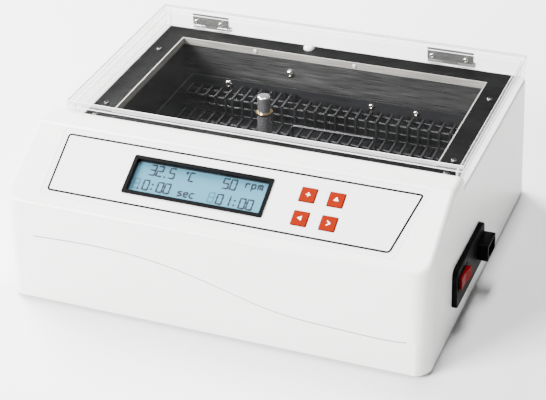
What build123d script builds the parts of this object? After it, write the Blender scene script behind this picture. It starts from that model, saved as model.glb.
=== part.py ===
from build123d import *
import math
import os

# Gel card heater: a bench heater with a shaking card tray under a clear lid.
# Millimetres, +X to the right, +Y to the rear, +Z up. The origin is on the table,
# under the middle of the whole heater, power inlet included.

# Housing
HOUSING_WIDTH = 340.0
HOUSING_DEPTH = 281.5
WALL = 3.0
FOOT_HEIGHT = 3.0
FRONT_HEIGHT = 88.2
FRONT_LEAN = 4.0
REAR_LEAN = 5.9
SLOPE_RUN = 62.6
SLOPE_RISE = 34.0
CONSOLE_TOP_DEPTH = 21.3
DECK_Z = 111.4
SIDE_DRAFT = 0.35
FRONT_CORNER_R = 14.0
REAR_CORNER_R = 9.0
TOP_EDGE_R = 5.0
DECK_EDGE_R = 2.0
WAVE_DEPTH = 0.8
WAVE_HIGH_Z = 61.0
WAVE_LOW_Z = 31.0
BOSS_R = 4.5
SCREW_HOLE_R = 1.6

# Bottom cover and feet
COVER_THICK = 2.0
COVER_GAP = 0.4
COVER_SEAT = 2.0
VENT_COUNT = 9
VENT_WIDTH = 3.0
VENT_LENGTH = 36.0
VENT_PITCH = 8.0
FOOT_R = 9.0
FOOT_INSET = 26.0

# Chamber of sheet steel, with its flange on the deck
GROUP_X = 7.0
CHAMBER_FLOOR_Z = 36.0
SHEET = 1.5
FLANGE_WIDTH = 17.5
FLANGE_SIDE = 19.5
FLANGE_CLEAR = 0.45
FLANGE_SIDE_CLEAR = 2.0
DECK_HOLE_GAP = 0.5
RIM_DROP = 5.8
RIM_THICK = 1.0
SCREW_HEAD_R = 2.6
SCREW_HEAD_H = 1.6
FLANGE_SCREW_FRONT = 58.8
FLANGE_SCREW_REAR = 42.0
RIM_SCREW_R = 1.8
RIM_SCREW_H = 1.0
RIM_SCREW_LEFT = 67.2
RIM_SCREW_RIGHT = 21.5
WALL_SCREW_X = -29.5
WALL_SCREW_Z = 93.0
WALL_SCREW_R = 3.6
WALL_SCREW_H = 2.2
SENSOR_LENGTH = 28.0
SENSOR_HEIGHT = 10.0
SENSOR_THICK = 2.0
SENSOR_END = 6.0
CUTOUT_R = 8.0
CUTOUT_THICK = 5.0
CUTOUT_Y = 50.0
CUTOUT_UP = 20.0
BUMPER_R = 4.6
BUMPER_H = 3.0
BUMPER_X = -16.5
BUMPER_INSET = 0.5
BUMPER_STEM_R = 1.5

# Lid of 5 mm acrylic
LID_SIDE_INSET = 9.0
LID_HEIGHT = 19.1
LID_WALL = 5.0
LID_GAP = 1.6
LID_SETBACK = 0.2
LID_REST_GAP = 0.1
LID_EDGE = 0.4

# Hinges
HINGE_LEFT_LENGTH = 33.5
HINGE_RIGHT_LENGTH = 39.5
HINGE_LEAF = 1.2
HINGE_AXIS_OUT = 3.3
HINGE_AXIS_UP = 1.1
KNUCKLE_R = 2.6
HINGE_PIN_R = 1.2
PIN_PLAY = 0.05
KNUCKLE_GAP = 0.3
MOVING_LEAF_RISE = 12.0
FIXED_LEAF_DROP = 13.0
HINGE_LEFT_X = -111.1
HINGE_RIGHT_X = 103.9
HINGE_SCREW_INSET = 5.5
HINGE_SCREW_OUT = 7.6
HINGE_SCREW_R = 2.2
HINGE_SCREW_H = 1.2
PIN_HEAD_R = 2.0
PIN_HEAD_LENGTH = 1.2

# Shaker drive
ORBIT = 2.5
IDLER_FROM_END = 32.5
SHAFT_R = 4.0
CRANK_R = 22.0
CRANK_THICK = 5.0
CRANK_GAP = 0.3
IDLER_R = 11.0
IDLER_SHAFT_R = 3.0
BEARING_HEAD = 2.5
BEARING_LENGTH = 9.0
MOTOR_R = 21.0
MOTOR_HEIGHT = 16.0
HEATER_THICK = 1.5
INSULATION_THICK = 3.0
BRACKET_HALF_DEPTH = 32.0
BRACKET_TOP_DROP = 30.0

# Card tray that rides on the drive
TRAY_CLEAR = 2.5
TRAY_SIDE_CLEAR = 4.5
TRAY_SHEET = 1.5
TRAY_WALL_TOP_Z = 82.5
HUB_R = 9.0
HUB_HEIGHT = 4.0
TRAY_SCREW_R = 2.7
TRAY_SCREW_LEFT_R = 4.0
TRAY_SCREW_H = 1.8
TRAY_SCREW_DOWN = 5.0
TRAY_SCREW_SPREAD = 84.0
TRAY_SCREW_INNER = 45.0

# Racks of wire dividers
DIVIDER_PITCH = 9.0
DIVIDER_THICK = 1.6
DIVIDER_STRIP = 2.0
RACK_GAP = 12.0
RACK_END_GAP = 5.0
SHELF_HEIGHT = 12.5
TOP_HEIGHT = 27.0
TOP_DEPTH = 16.5
TALL_EXTRA = 3.0
TALL_DEPTH = 24.5
TALL_GROW = 2.0
DIVIDER_END = 1.9
LEFT_COUNT = 5
TALL_COUNT = 6
ROD_R = 1.1
ROD_OVERHANG = 1.2
BAIL_R = 1.0
BAIL_FROM_EDGE = 8.0
BAIL_SPAN = 8
BAIL_BEND_R = 3.0
POST_X = -25.2
POST_R = 5.3
POST_FOOT_R = 5.9
POST_EDGE = 1.4
POST_HEIGHT = 59.0
COLLAR_R = 6.9
COLLAR_THICK = 1.6
COLLAR_UP = 42.8

# Slope: label, display, keys. Positions are across (X) and up the slope.
LABEL_THICK = 0.5
LABEL_RECESS = 0.6
LABEL_MARGIN = 4.3
LABEL_LEFT_BOTTOM = -136.4
LABEL_LEFT_TOP = -137.8
LABEL_RIGHT_BOTTOM = 136.3
LABEL_RIGHT_TOP = 147.9
LABEL_LOW = 13.2
LABEL_HIGH = 65.0
LABEL_CORNER_R = 3.0
BEZEL_WIDTH = 113.0
BEZEL_HEIGHT = 33.4
BEZEL_X = -20.9
BEZEL_UP = 39.4
BEZEL_PROUD = 0.8
BEZEL_BORDER = 3.0
BEZEL_STEP = 1.4
WINDOW_DEPTH = 2.4
WINDOW_THICK = 1.2
CELL_THICK = 2.4
BOARD_THICK = 1.6
BOARD_DEPTH = 13.0
BOARD_WIDTH = 216.0
BOARD_HEIGHT = 46.0
KEY_SIZE = 11.8
KEY_GAP = 0.5
KEY_PROUD = 0.7
KEY_SKIRT = 0.9
KEY_LEFT_X = 64.2
KEY_PITCH_X = 21.7
KEY_LOW_UP = 27.9
KEY_PITCH_UP = 20.1
KEY_STEM_R = 1.6
STEM_PLAY = 0.1
STEM_GRIP = 1.2
SWITCH_SIZE = 12.0
SWITCH_HEIGHT = 4.0
CHIP_SIZE = 24.0
CHIP_THICK = 3.0
CHIP_X = 70.0
PLUG_WIDTH = 30.0
PLUG_DEPTH = 8.0
PLUG_X = 20.0
PLUG_DOWN = 8.0

# Power plate on the right side
PLATE_THICK = 4.0
PLATE_SUNK = 0.3
PLATE_LENGTH = 76.0
PLATE_HEIGHT = 34.0
PLATE_Y = -42.0
PLATE_Z = 40.0
PLATE_CORNER_R = 5.0
ROCKER_LENGTH = 20.4
ROCKER_HEIGHT = 9.6
ROCKER_Y = -65.0
ROCKER_Z = 43.8
ROCKER_PROUD = 3.2
ROCKER_DEPTH = 5.0
ROCKER_TILT = 5.0
ROCKER_PIN_R = 1.5
ROCKER_PLAY = 0.4
SWITCH_BODY_DEPTH = 18.0
SWITCH_WALL = 1.5
SWITCH_BACK = 4.0
INLET_LENGTH = 21.6
INLET_HEIGHT = 14.4
INLET_Y = -14.2
INLET_Z = 40.3
INLET_PROUD = 8.5
INLET_WALL = 2.0
INLET_RECESS = 14.0
INLET_BODY = 20.0
INLET_PIN_LENGTH = 11.0
INLET_PIN_THICK = 1.6
INLET_PIN_WIDTH = 3.6
INLET_PIN_PITCH = 5.0
INLET_PIN_LOW = 1.0
INLET_PIN_HIGH = 1.6

# Boards inside
SUPPLY_WIDTH = 90.0
SUPPLY_DEPTH = 60.0
SUPPLY_FROM_SIDE = 45.0
SUPPLY_FROM_FRONT = 24.0
STANDOFF_HEIGHT = 4.0
STANDOFF_R = 3.0
STANDOFF_INSET = 5.0
COIL_SIZE = 30.0
COIL_HEIGHT = 18.0
COIL_INSET = 12.0
CAPACITOR_R = 8.0
CAPACITOR_HEIGHT = 16.0
CAPACITOR_INSET = 20.0
SMALL_CAPACITOR_R = 6.0
SMALL_CAPACITOR_HEIGHT = 12.0

# Worked-out places
HALF_W = HOUSING_WIDTH / 2
FRONT_Y = -(HOUSING_DEPTH + WAVE_DEPTH) / 2
REAR_Y = FRONT_Y + HOUSING_DEPTH
SIDE_REACH = PLATE_THICK - PLATE_SUNK + INLET_PROUD
HOUSING_X = -SIDE_REACH / 2
SLOPE_Y = FRONT_Y + FRONT_LEAN
SLOPE_ANGLE = math.atan2(SLOPE_RISE, SLOPE_RUN)
CONSOLE_Z = FRONT_HEIGHT + SLOPE_RISE
STEP_Y = SLOPE_Y + SLOPE_RUN + CONSOLE_TOP_DEPTH
DECK_REAR_Y = REAR_Y - REAR_LEAN
CX = HOUSING_X + GROUP_X
LID_FRONT_Y = STEP_Y + LID_GAP
LID_REAR_Y = DECK_REAR_Y - LID_SETBACK
LID_WIDTH = HOUSING_WIDTH - 2 * LID_SIDE_INSET
LID_DEPTH = LID_REAR_Y - LID_FRONT_Y
CY = (LID_FRONT_Y + LID_REAR_Y) / 2
CHAMBER_WIDTH = LID_WIDTH - 2 * (LID_WALL + FLANGE_SIDE_CLEAR + FLANGE_SIDE)
CHAMBER_DEPTH = LID_DEPTH - 2 * (LID_WALL + FLANGE_CLEAR + FLANGE_WIDTH)
TRAY_WIDTH = CHAMBER_WIDTH - 2 * (ORBIT + TRAY_SIDE_CLEAR)
TRAY_DEPTH = CHAMBER_DEPTH - 2 * (ORBIT + TRAY_CLEAR)
RACK_DEPTH = TRAY_DEPTH / 2 - TRAY_SHEET - RACK_GAP / 2 - RACK_END_GAP
IDLER_SPAN = TRAY_WIDTH / 2 - IDLER_FROM_END
DIVIDER_COUNT = int((TRAY_WIDTH - 2 * TRAY_SHEET - 2 * DIVIDER_END) / DIVIDER_PITCH) + 1
FLANGE_TOP_Z = DECK_Z + SHEET
HINGE_Y = LID_REAR_Y + HINGE_AXIS_OUT
HINGE_Z = DECK_Z + HINGE_AXIS_UP
FLOOR_UNDER_Z = CHAMBER_FLOOR_Z - SHEET
CRANK_Z = CHAMBER_FLOOR_Z + BEARING_HEAD + CRANK_GAP
CRANK_TOP_Z = CRANK_Z + CRANK_THICK
TRAY_Z = CRANK_TOP_Z + CRANK_GAP + HUB_HEIGHT
TRAY_TOP_Z = TRAY_Z + TRAY_SHEET
TRAY_X = CX + ORBIT
COVER_Z = FOOT_HEIGHT + COVER_SEAT
MOTOR_Z = FLOOR_UNDER_Z - HEATER_THICK - INSULATION_THICK - MOTOR_HEIGHT - SHEET
SWITCH_TOP_DEPTH = BOARD_DEPTH - SWITCH_HEIGHT
SIDE_X = HOUSING_X + HALF_W - PLATE_SUNK
PLATE_FACE_X = SIDE_X + PLATE_THICK

SLOPE = Plane(
    origin=(HOUSING_X, SLOPE_Y, FRONT_HEIGHT),
    x_dir=(1, 0, 0),
    z_dir=(0, -math.sin(SLOPE_ANGLE), math.cos(SLOPE_ANGLE)),
)


def block(x0, x1, y0, y1, z0, z1):
    """A plain block between two corners."""
    middle = Pos((x0 + x1) / 2, (y0 + y1) / 2, (z0 + z1) / 2)
    return middle * Box(abs(x1 - x0), abs(y1 - y0), abs(z1 - z0))


def post(x, y, z0, z1, radius):
    """An upright cylinder."""
    return Pos(x, y, (z0 + z1) / 2) * Cylinder(radius, z1 - z0)


def rod_x(x0, x1, y, z, radius):
    """A round rod along X."""
    return Pos((x0 + x1) / 2, y, z) * Rot(0, 90, 0) * Cylinder(radius, x1 - x0)


def on_slope(x, up, depth0, depth1, width, height, corner=0.0):
    """A block on the slope; depths count inwards from its face, negative is proud."""
    thick = depth1 - depth0
    outline = RectangleRounded(width, height, corner) if corner else Rectangle(width, height)
    return SLOPE * Pos(x, up, -depth1) * extrude(outline, amount=thick)


def group(solids):
    """Several like pieces kept as separate solids of one node."""
    flat = []
    for piece in solids:
        flat.extend(piece.solids())
    return Compound(children=flat)


def edges_where(shape, test):
    """The edges whose middle point passes a test."""
    return [edge for edge in shape.edges() if test(edge.center())]


def housing_form(inset):
    """The closed outer form of the housing, or the same form set in by a wall."""
    half = HALF_W - inset
    front = FRONT_Y + inset
    rear = REAR_Y - inset
    base = FOOT_HEIGHT if inset == 0 else FOOT_HEIGHT - 1
    slope_in = inset * math.tan(SLOPE_ANGLE / 2)
    front_top = FRONT_HEIGHT - inset * math.tan((math.pi / 2 - SLOPE_ANGLE) / 2)
    top = CONSOLE_Z - inset
    step = STEP_Y - inset
    deck = DECK_Z - inset
    console = [
        (front, base),
        (front + FRONT_LEAN, front_top),
        (SLOPE_Y + SLOPE_RUN + slope_in, top),
        (step, top),
        (step, base),
    ]
    rear_part = [
        (front + FRONT_CORNER_R * 2, base),
        (front + FRONT_CORNER_R * 2, FRONT_HEIGHT / 2),
        (step - CONSOLE_TOP_DEPTH / 2, deck),
        (rear - REAR_LEAN, deck),
        (rear, base),
    ]
    height = CONSOLE_Z - base
    footprint = Pos(0, 0, base) * Rectangle(2 * half, 3 * HOUSING_DEPTH)
    draft = extrude(footprint, amount=height, taper=SIDE_DRAFT)
    prism = extrude(Plane.YZ * make_face(Polyline(*console, close=True)), amount=half, both=True)
    console_form = prism & draft
    corner = max(FRONT_CORNER_R - inset, 1.0)
    edge_r = max(TOP_EDGE_R - inset, 1.0)
    upright = edges_where(console_form, lambda c: c.Y < SLOPE_Y + inset + 1 and abs(c.X) > half - 2)
    console_form = fillet(upright, corner)
    upper = edges_where(
        console_form,
        lambda c: c.Z > front_top - corner and (c.Y < SLOPE_Y + SLOPE_RUN / 2 + corner or c.Z > top - 0.5),
    )
    rounded = [edge for edge in upper if edge.center().Y < step - 0.5 and not upright_edge(edge)]
    console_form = fillet(rounded, edge_r)
    prism = extrude(Plane.YZ * make_face(Polyline(*rear_part, close=True)), amount=half, both=True)
    rear_form = prism & draft
    corners = edges_where(rear_form, lambda c: c.Y > rear - REAR_LEAN - 1 and abs(c.X) > half - 2)
    rear_form = fillet(corners, max(REAR_CORNER_R - inset, 1.0))
    rim = edges_where(rear_form, lambda c: c.Z > deck - 0.5 and c.Y > STEP_Y - CONSOLE_TOP_DEPTH)
    rear_form = fillet(rim, max(DECK_EDGE_R - inset, 0.5))
    return Pos(HOUSING_X, 0, 0) * (console_form + rear_form)


def upright_edge(edge):
    """Whether an edge runs mainly upwards."""
    direction = edge.position_at(1) - edge.position_at(0)
    return abs(direction.Z) > 0.9 * direction.length


def wave_cutter():
    """The thin slab of the front face below the wave line."""
    left = -HALF_W - 2
    right = HALF_W + 2
    high = WAVE_HIGH_Z
    low = WAVE_LOW_Z
    drop = high - low
    line = Spline(
        (left, high - 0.11 * drop),
        (-HALF_W * 0.62, high),
        (-HALF_W * 0.33, high - 0.06 * drop),
        (0, low + 0.58 * drop),
        (HALF_W * 0.31, low + 0.13 * drop),
        (HALF_W * 0.62, low),
        (HALF_W * 0.88, low - 0.01 * drop),
        (right, low + 0.12 * drop),
    )
    lower = Polyline((right, low + 0.12 * drop), (right, 0), (left, 0), (left, high - 0.11 * drop))
    outline = Plane.XZ * make_face(line + lower)
    slab = extrude(outline, amount=HOUSING_DEPTH)
    lean = math.atan2(FRONT_LEAN, FRONT_HEIGHT - FOOT_HEIGHT)
    behind = Plane(
        origin=(0, FRONT_Y + WAVE_DEPTH, FOOT_HEIGHT),
        x_dir=(1, 0, 0),
        z_dir=(0, -math.cos(lean), math.sin(lean)),
    )
    ahead = behind * extrude(Rectangle(3 * HOUSING_WIDTH, 3 * HOUSING_WIDTH), amount=HOUSING_DEPTH)
    return Pos(HOUSING_X, 0, 0) * (slab & ahead)


def label_outline(margin):
    """The label's four corners on the slope, grown by a margin."""
    points = [
        (LABEL_LEFT_BOTTOM - margin, LABEL_LOW - margin),
        (LABEL_RIGHT_BOTTOM + margin, LABEL_LOW - margin),
        (LABEL_RIGHT_TOP + margin, LABEL_HIGH + margin),
        (LABEL_LEFT_TOP - margin, LABEL_HIGH + margin),
    ]
    face = make_face(Polyline(*points, close=True))
    return fillet(face.vertices(), LABEL_CORNER_R)


def key_places():
    """Name, place across and place up the slope of each key."""
    right = KEY_LEFT_X + KEY_PITCH_X
    high = KEY_LOW_UP + KEY_PITCH_UP
    return [
        ("key_plus", KEY_LEFT_X, high),
        ("key_up", right, high),
        ("key_left", KEY_LEFT_X, KEY_LOW_UP),
        ("key_right", right, KEY_LOW_UP),
    ]


def foot_places():
    """The middle of each foot."""
    x = HALF_W - FOOT_INSET
    front = FRONT_Y + FOOT_INSET
    rear = REAR_Y - FOOT_INSET
    return [(HOUSING_X + sx * x, y) for sx in (-1, 1) for y in (front, rear)]


def boss_places():
    """The middle of each screw boss, beside the feet."""
    x = HALF_W - WALL - BOSS_R - 4.0
    front = FRONT_Y + FOOT_INSET + FOOT_R + BOSS_R + 3
    rear = REAR_Y - FOOT_INSET - FOOT_R - BOSS_R - 3
    return [(HOUSING_X + sx * x, y) for sx in (-1, 1) for y in (front, rear)]


def hinge_places():
    """The middle of each hinge along X, and its length."""
    left = HOUSING_X + HINGE_LEFT_X
    right = HOUSING_X + HINGE_RIGHT_X
    return [(left, HINGE_LEFT_LENGTH), (right, HINGE_RIGHT_LENGTH)]


def make_housing():
    """Moulded shell with its openings, recesses, bosses and ribs."""
    outer = housing_form(0)
    inner = housing_form(WALL)
    shell = outer - inner
    cover_top = COVER_Z + COVER_THICK
    bosses = Part()
    for x, y in boss_places():
        bosses += post(x, y, cover_top, CONSOLE_Z, BOSS_R)
        side = 1 if x > HOUSING_X else -1
        rib_end = x + side * (BOSS_R + 6)
        bosses += block(min(x, rib_end), max(x, rib_end), y - 1, y + 1, cover_top + 4, CONSOLE_Z)
    deck_lip = chamber_block(SHEET + DECK_HOLE_GAP + 2.0, DECK_Z - 10, DECK_Z - 1)
    shell = shell + ((bosses + deck_lip) & housing_form(WALL / 2))
    for x, y in boss_places():
        shell -= post(x, y, cover_top - 1, cover_top + 14, SCREW_HOLE_R)
    shell -= chamber_block(SHEET + DECK_HOLE_GAP, DECK_Z - 20, DECK_Z + 1)
    shell -= wave_cutter()
    shell -= SLOPE * Pos(0, 0, -LABEL_RECESS) * extrude(label_outline(LABEL_MARGIN), amount=20)
    hole_w = BEZEL_WIDTH - 2 * BEZEL_STEP
    hole_h = BEZEL_HEIGHT - 2 * BEZEL_STEP
    shell -= on_slope(BEZEL_X, BEZEL_UP, -1, WALL + 2, hole_w, hole_h)
    key_hole = KEY_SIZE + 2 * KEY_GAP
    for _name, x, up in key_places():
        shell -= on_slope(x, up, -1, WALL + 2, key_hole, key_hole, 1.0)
    for x, up in board_posts():
        shell += on_slope(x, up, WALL - 0.5, BOARD_DEPTH, 6.0, 6.0, 2.9)
    plate = power_plate_outline(0.3)
    shell -= Pos(SIDE_X, 0, 0) * extrude(Plane.YZ * plate, amount=10)
    shell -= side_hole(ROCKER_Y, ROCKER_Z, ROCKER_LENGTH, ROCKER_HEIGHT, SWITCH_WALL + 0.7)
    shell -= side_hole(INLET_Y, INLET_Z, INLET_LENGTH, INLET_HEIGHT, 0.3)
    for x, length in hinge_places():
        pad = length / 2 + 0.5
        z0 = HINGE_Z - FIXED_LEAF_DROP - 3
        shell -= block(x - pad, x + pad, DECK_REAR_Y, REAR_Y + 5, z0, DECK_Z + 1)
    return shell


def chamber_block(grow, z0, z1):
    """A block over the chamber's opening, grown sideways."""
    half_w = CHAMBER_WIDTH / 2 + grow
    half_d = CHAMBER_DEPTH / 2 + grow
    return block(CX - half_w, CX + half_w, CY - half_d, CY + half_d, z0, z1)


def side_hole(y, z, length, height, grow):
    """A cut through the right wall."""
    half_l = length / 2 + grow
    half_h = height / 2 + grow
    return block(SIDE_X - WALL - 3, SIDE_X + 5, y - half_l, y + half_l, z - half_h, z + half_h)


def power_plate_outline(grow):
    """The rounded plate, drawn on the side."""
    face = RectangleRounded(PLATE_LENGTH + 2 * grow, PLATE_HEIGHT + 2 * grow, PLATE_CORNER_R + grow)
    return Pos(PLATE_Y, PLATE_Z) * face


def board_posts():
    """Places of the board's posts on the slope."""
    half_w = BOARD_WIDTH / 2 - 6
    half_h = BOARD_HEIGHT / 2 - 4
    middle = board_middle()
    return [(middle[0] + sx * half_w, middle[1] + sy * half_h) for sx in (-1, 1) for sy in (-1, 1)]


def board_middle():
    """The middle of the control board on the slope."""
    left = BEZEL_X - BEZEL_WIDTH / 2
    right = KEY_LEFT_X + KEY_PITCH_X + KEY_SIZE / 2
    return ((left + right) / 2, (LABEL_LOW + LABEL_HIGH) / 2)


def make_bottom_cover():
    """Bottom plate inside the housing's lower edge, with vents and foot recesses."""
    gap = WALL + COVER_GAP
    x0 = HOUSING_X - HALF_W + gap
    x1 = HOUSING_X + HALF_W - gap
    plate = block(x0, x1, FRONT_Y + gap + 0.5, REAR_Y - gap - 0.5, COVER_Z, COVER_Z + COVER_THICK)
    upright = plate.edges().filter_by(Axis.Z)
    plate = fillet(upright, FRONT_CORNER_R - WALL)
    for index in range(VENT_COUNT):
        shift = (index - (VENT_COUNT - 1) / 2) * VENT_PITCH
        slot = SlotOverall(VENT_LENGTH, VENT_WIDTH, rotation=90)
        for y in (FRONT_Y + HOUSING_DEPTH * 0.25, REAR_Y - HOUSING_DEPTH * 0.25):
            plate -= Pos(HOUSING_X + shift, y, COVER_Z - 1) * extrude(slot, amount=COVER_THICK + 2)
    for x, y in boss_places():
        plate -= post(x, y, COVER_Z - 1, COVER_Z + COVER_THICK + 1, SCREW_HOLE_R)
    return plate


def make_feet():
    """Rubber feet under the bottom cover."""
    feet = []
    for x, y in foot_places():
        foot = post(x, y, 0, COVER_Z, FOOT_R)
        foot = fillet(foot.edges().group_by(Axis.Z)[0], 1.0)
        feet.append(foot)
    return group(feet)


def make_bottom_screws():
    """Screws that hold the bottom cover to the bosses."""
    screws = []
    for x, y in boss_places():
        head = post(x, y, COVER_Z - SCREW_HEAD_H, COVER_Z, SCREW_HEAD_R + 0.4)
        shank = post(x, y, COVER_Z, COVER_Z + COVER_THICK + 10, SCREW_HOLE_R - 0.05)
        screws.append(head + shank)
    return group(screws)


def make_chamber():
    """Sheet steel chamber: flange, walls and floor with its bearing holes."""
    half_w = CHAMBER_WIDTH / 2 + FLANGE_SIDE
    half_d = CHAMBER_DEPTH / 2 + FLANGE_WIDTH
    tub = block(CX - half_w, CX + half_w, CY - half_d, CY + half_d, DECK_Z, FLANGE_TOP_Z)
    tub += chamber_block(SHEET, FLOOR_UNDER_Z, DECK_Z + SHEET / 2)
    tub -= chamber_block(0, CHAMBER_FLOOR_Z, FLANGE_TOP_Z + 1)
    for x in (CX - IDLER_SPAN, CX, CX + IDLER_SPAN):
        radius = drive_bush_r() if x == CX else idler_bush_r()
        tub -= post(x, CY, FLOOR_UNDER_Z - 1, CHAMBER_FLOOR_Z + 1, radius)
    return tub


def drive_bush_r():
    """Outer radius of the motor shaft's bush."""
    return SHAFT_R + 3.0


def idler_bush_r():
    """Outer radius of an idler's bush."""
    return IDLER_SHAFT_R + 3.0


def make_rim():
    """Bright strip inside the top of the chamber walls."""
    rim = chamber_block(0, FLANGE_TOP_Z - RIM_DROP, FLANGE_TOP_Z)
    return rim - chamber_block(-RIM_THICK, FLANGE_TOP_Z - RIM_DROP - 1, FLANGE_TOP_Z + 1)


def domed_screw(head_r, head_h, grip):
    """A domed screw along Z, its head above the origin and its shank below."""
    head = Pos(0, 0, head_h / 2) * Cylinder(head_r, head_h)
    head = fillet(head.edges().group_by(Axis.Z)[-1], head_h * 0.6)
    return head + Pos(0, 0, -grip / 2) * Cylinder(head_r * 0.45, grip)


def screw_on_wall(x, y, z, facing, head_r, head_h, grip):
    """A domed screw in an upright wall; facing is +1 for a head that looks to +Y."""
    return Pos(x, y, z) * Rot(-90 * facing, 0, 0) * domed_screw(head_r, head_h, grip)


def make_rim_screws():
    """Small screws through the rim, two behind and two in front."""
    z = FLANGE_TOP_Z - RIM_DROP / 2
    inner = CHAMBER_DEPTH / 2 - RIM_THICK
    screws = []
    grip = RIM_THICK + SHEET
    for x in (CX - RIM_SCREW_LEFT, CX + RIM_SCREW_RIGHT):
        screws.append(screw_on_wall(x, CY + inner, z, -1, RIM_SCREW_R, RIM_SCREW_H, grip))
        screws.append(screw_on_wall(x, CY - inner, z, 1, RIM_SCREW_R, RIM_SCREW_H, grip))
    return group(screws)


def make_flange_screws():
    """Screws that hold the flange to the deck."""
    out_w = CHAMBER_WIDTH / 2 + FLANGE_SIDE / 2
    out_d = CHAMBER_DEPTH / 2 + FLANGE_WIDTH / 2
    screws = []
    for sx in (-1, 1):
        for y in (CY - out_d, CY - FLANGE_SCREW_FRONT, CY + FLANGE_SCREW_REAR):
            screw = domed_screw(SCREW_HEAD_R, SCREW_HEAD_H, SHEET + WALL)
            screws.append(Pos(CX + sx * out_w, y, FLANGE_TOP_Z) * screw)
    return group(screws)


def make_wall_screws():
    """Screws of the temperature sensor's clip in the rear wall."""
    x = HOUSING_X + WALL_SCREW_X
    y = CY + CHAMBER_DEPTH / 2
    grip = SHEET + SENSOR_THICK
    return group([screw_on_wall(x, y, WALL_SCREW_Z, -1, WALL_SCREW_R, WALL_SCREW_H, grip)])


def make_sensor():
    """Temperature sensor clip behind the rear wall, held by the wall screw."""
    x0 = HOUSING_X + WALL_SCREW_X - SENSOR_END
    y = CY + CHAMBER_DEPTH / 2 + SHEET
    z0 = WALL_SCREW_Z - SENSOR_HEIGHT / 2
    return block(x0, x0 + SENSOR_LENGTH, y, y + SENSOR_THICK, z0, z0 + SENSOR_HEIGHT)


def make_bumper():
    """White domed bumper on the rear flange."""
    y = CY + CHAMBER_DEPTH / 2 + FLANGE_WIDTH - BUMPER_R - BUMPER_INSET
    dome = post(0, 0, 0, BUMPER_H, BUMPER_R)
    dome = fillet(dome.edges().group_by(Axis.Z)[-1], BUMPER_H * 0.8)
    stem = post(0, 0, -SHEET - WALL, 0.1, BUMPER_STEM_R)
    return Pos(HOUSING_X + BUMPER_X, y, FLANGE_TOP_Z) * (dome + stem)


def make_lid():
    """Clear lid: a top and four walls, with square inner corners."""
    half_w = LID_WIDTH / 2
    top = DECK_Z + LID_HEIGHT
    lid = block(CX - half_w, CX + half_w, LID_FRONT_Y, LID_REAR_Y, DECK_Z + LID_REST_GAP, top)
    lid = chamfer(lid.edges(), LID_EDGE)
    inside = block(
        CX - half_w + LID_WALL,
        CX + half_w - LID_WALL,
        LID_FRONT_Y + LID_WALL,
        LID_REAR_Y - LID_WALL,
        DECK_Z - 1,
        top - LID_WALL,
    )
    return lid - inside


def knuckle(x0, x1, leaf_side):
    """A knuckle with the web that joins it to its leaf; leaf_side is +1 up, -1 down."""
    barrel = rod_x(x0, x1, 0, 0, KNUCKLE_R)
    back = -HINGE_AXIS_OUT if leaf_side > 0 else -HINGE_AXIS_OUT + LID_SETBACK
    web = block(x0, x1, back, 0, 0, leaf_side * KNUCKLE_R)
    bore = rod_x(x0 - 1, x1 + 1, 0, 0, HINGE_PIN_R + PIN_PLAY)
    return barrel + web - bore


def knuckle_end(length):
    """How far from a hinge's middle its outer knuckles begin."""
    return length / 6 + KNUCKLE_GAP / 2


def make_moving_leaf(x, length):
    """Leaf on the lid with the hinge's middle knuckle."""
    half = length / 2
    third = knuckle_end(length) - KNUCKLE_GAP
    leaf = block(-half, half, -HINGE_AXIS_OUT, -HINGE_AXIS_OUT + HINGE_LEAF, 2.0, MOVING_LEAF_RISE)
    leaf += knuckle(-third, third, 1)
    return Pos(x, HINGE_Y, HINGE_Z) * leaf


def make_fixed_leaf(x, length):
    """Leaf on the housing with the two outer knuckles."""
    half = length / 2
    third = knuckle_end(length)
    back = -HINGE_AXIS_OUT + LID_SETBACK
    leaf = block(-half, half, back, back + HINGE_LEAF, -FIXED_LEAF_DROP, -2.4)
    leaf += knuckle(-half, -third, -1)
    leaf += knuckle(third, half, -1)
    return Pos(x, HINGE_Y, HINGE_Z) * leaf


def make_hinge_pin(x, length):
    """Pin with a small head at its right end."""
    half = length / 2
    pin = rod_x(-half, half + 0.2, 0, 0, HINGE_PIN_R)
    head = rod_x(half + 0.1, half + PIN_HEAD_LENGTH, 0, 0, PIN_HEAD_R)
    return Pos(x, HINGE_Y, HINGE_Z) * (pin + head)


def make_leaf_screws(y, z, facing, grip):
    """Two screws for each hinge; facing is +1 for heads to the rear."""
    screws = []
    for x, length in hinge_places():
        reach = length / 2 - HINGE_SCREW_INSET
        for place in (x - reach, x + reach):
            screws.append(screw_on_wall(place, y, z, facing, HINGE_SCREW_R, HINGE_SCREW_H, grip))
    return group(screws)


def make_crank():
    """Drive crank: disc, eccentric pin and the seat on the motor shaft."""
    disc = post(CX, CY, CRANK_Z, CRANK_TOP_Z, CRANK_R)
    disc = chamfer(disc.edges(), 0.6)
    pin = post(CX + ORBIT, CY, CRANK_TOP_Z - 0.5, TRAY_Z - 0.2, SHAFT_R)
    return disc + pin


def make_motor_shaft():
    """Shaft through the motor and the chamber floor, fixed in the crank."""
    return post(CX, CY, MOTOR_Z + 3, CRANK_Z, SHAFT_R)


def make_idler(x):
    """Idler crank: shaft below, disc, eccentric pin above."""
    shaft = post(x, CY, CHAMBER_FLOOR_Z - BEARING_LENGTH + 2, CRANK_Z + 0.5, IDLER_SHAFT_R)
    disc = post(x, CY, CRANK_Z, CRANK_TOP_Z, IDLER_R)
    pin = post(x + ORBIT, CY, CRANK_TOP_Z - 0.5, TRAY_Z - 0.2, IDLER_SHAFT_R)
    return shaft + disc + pin


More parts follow.
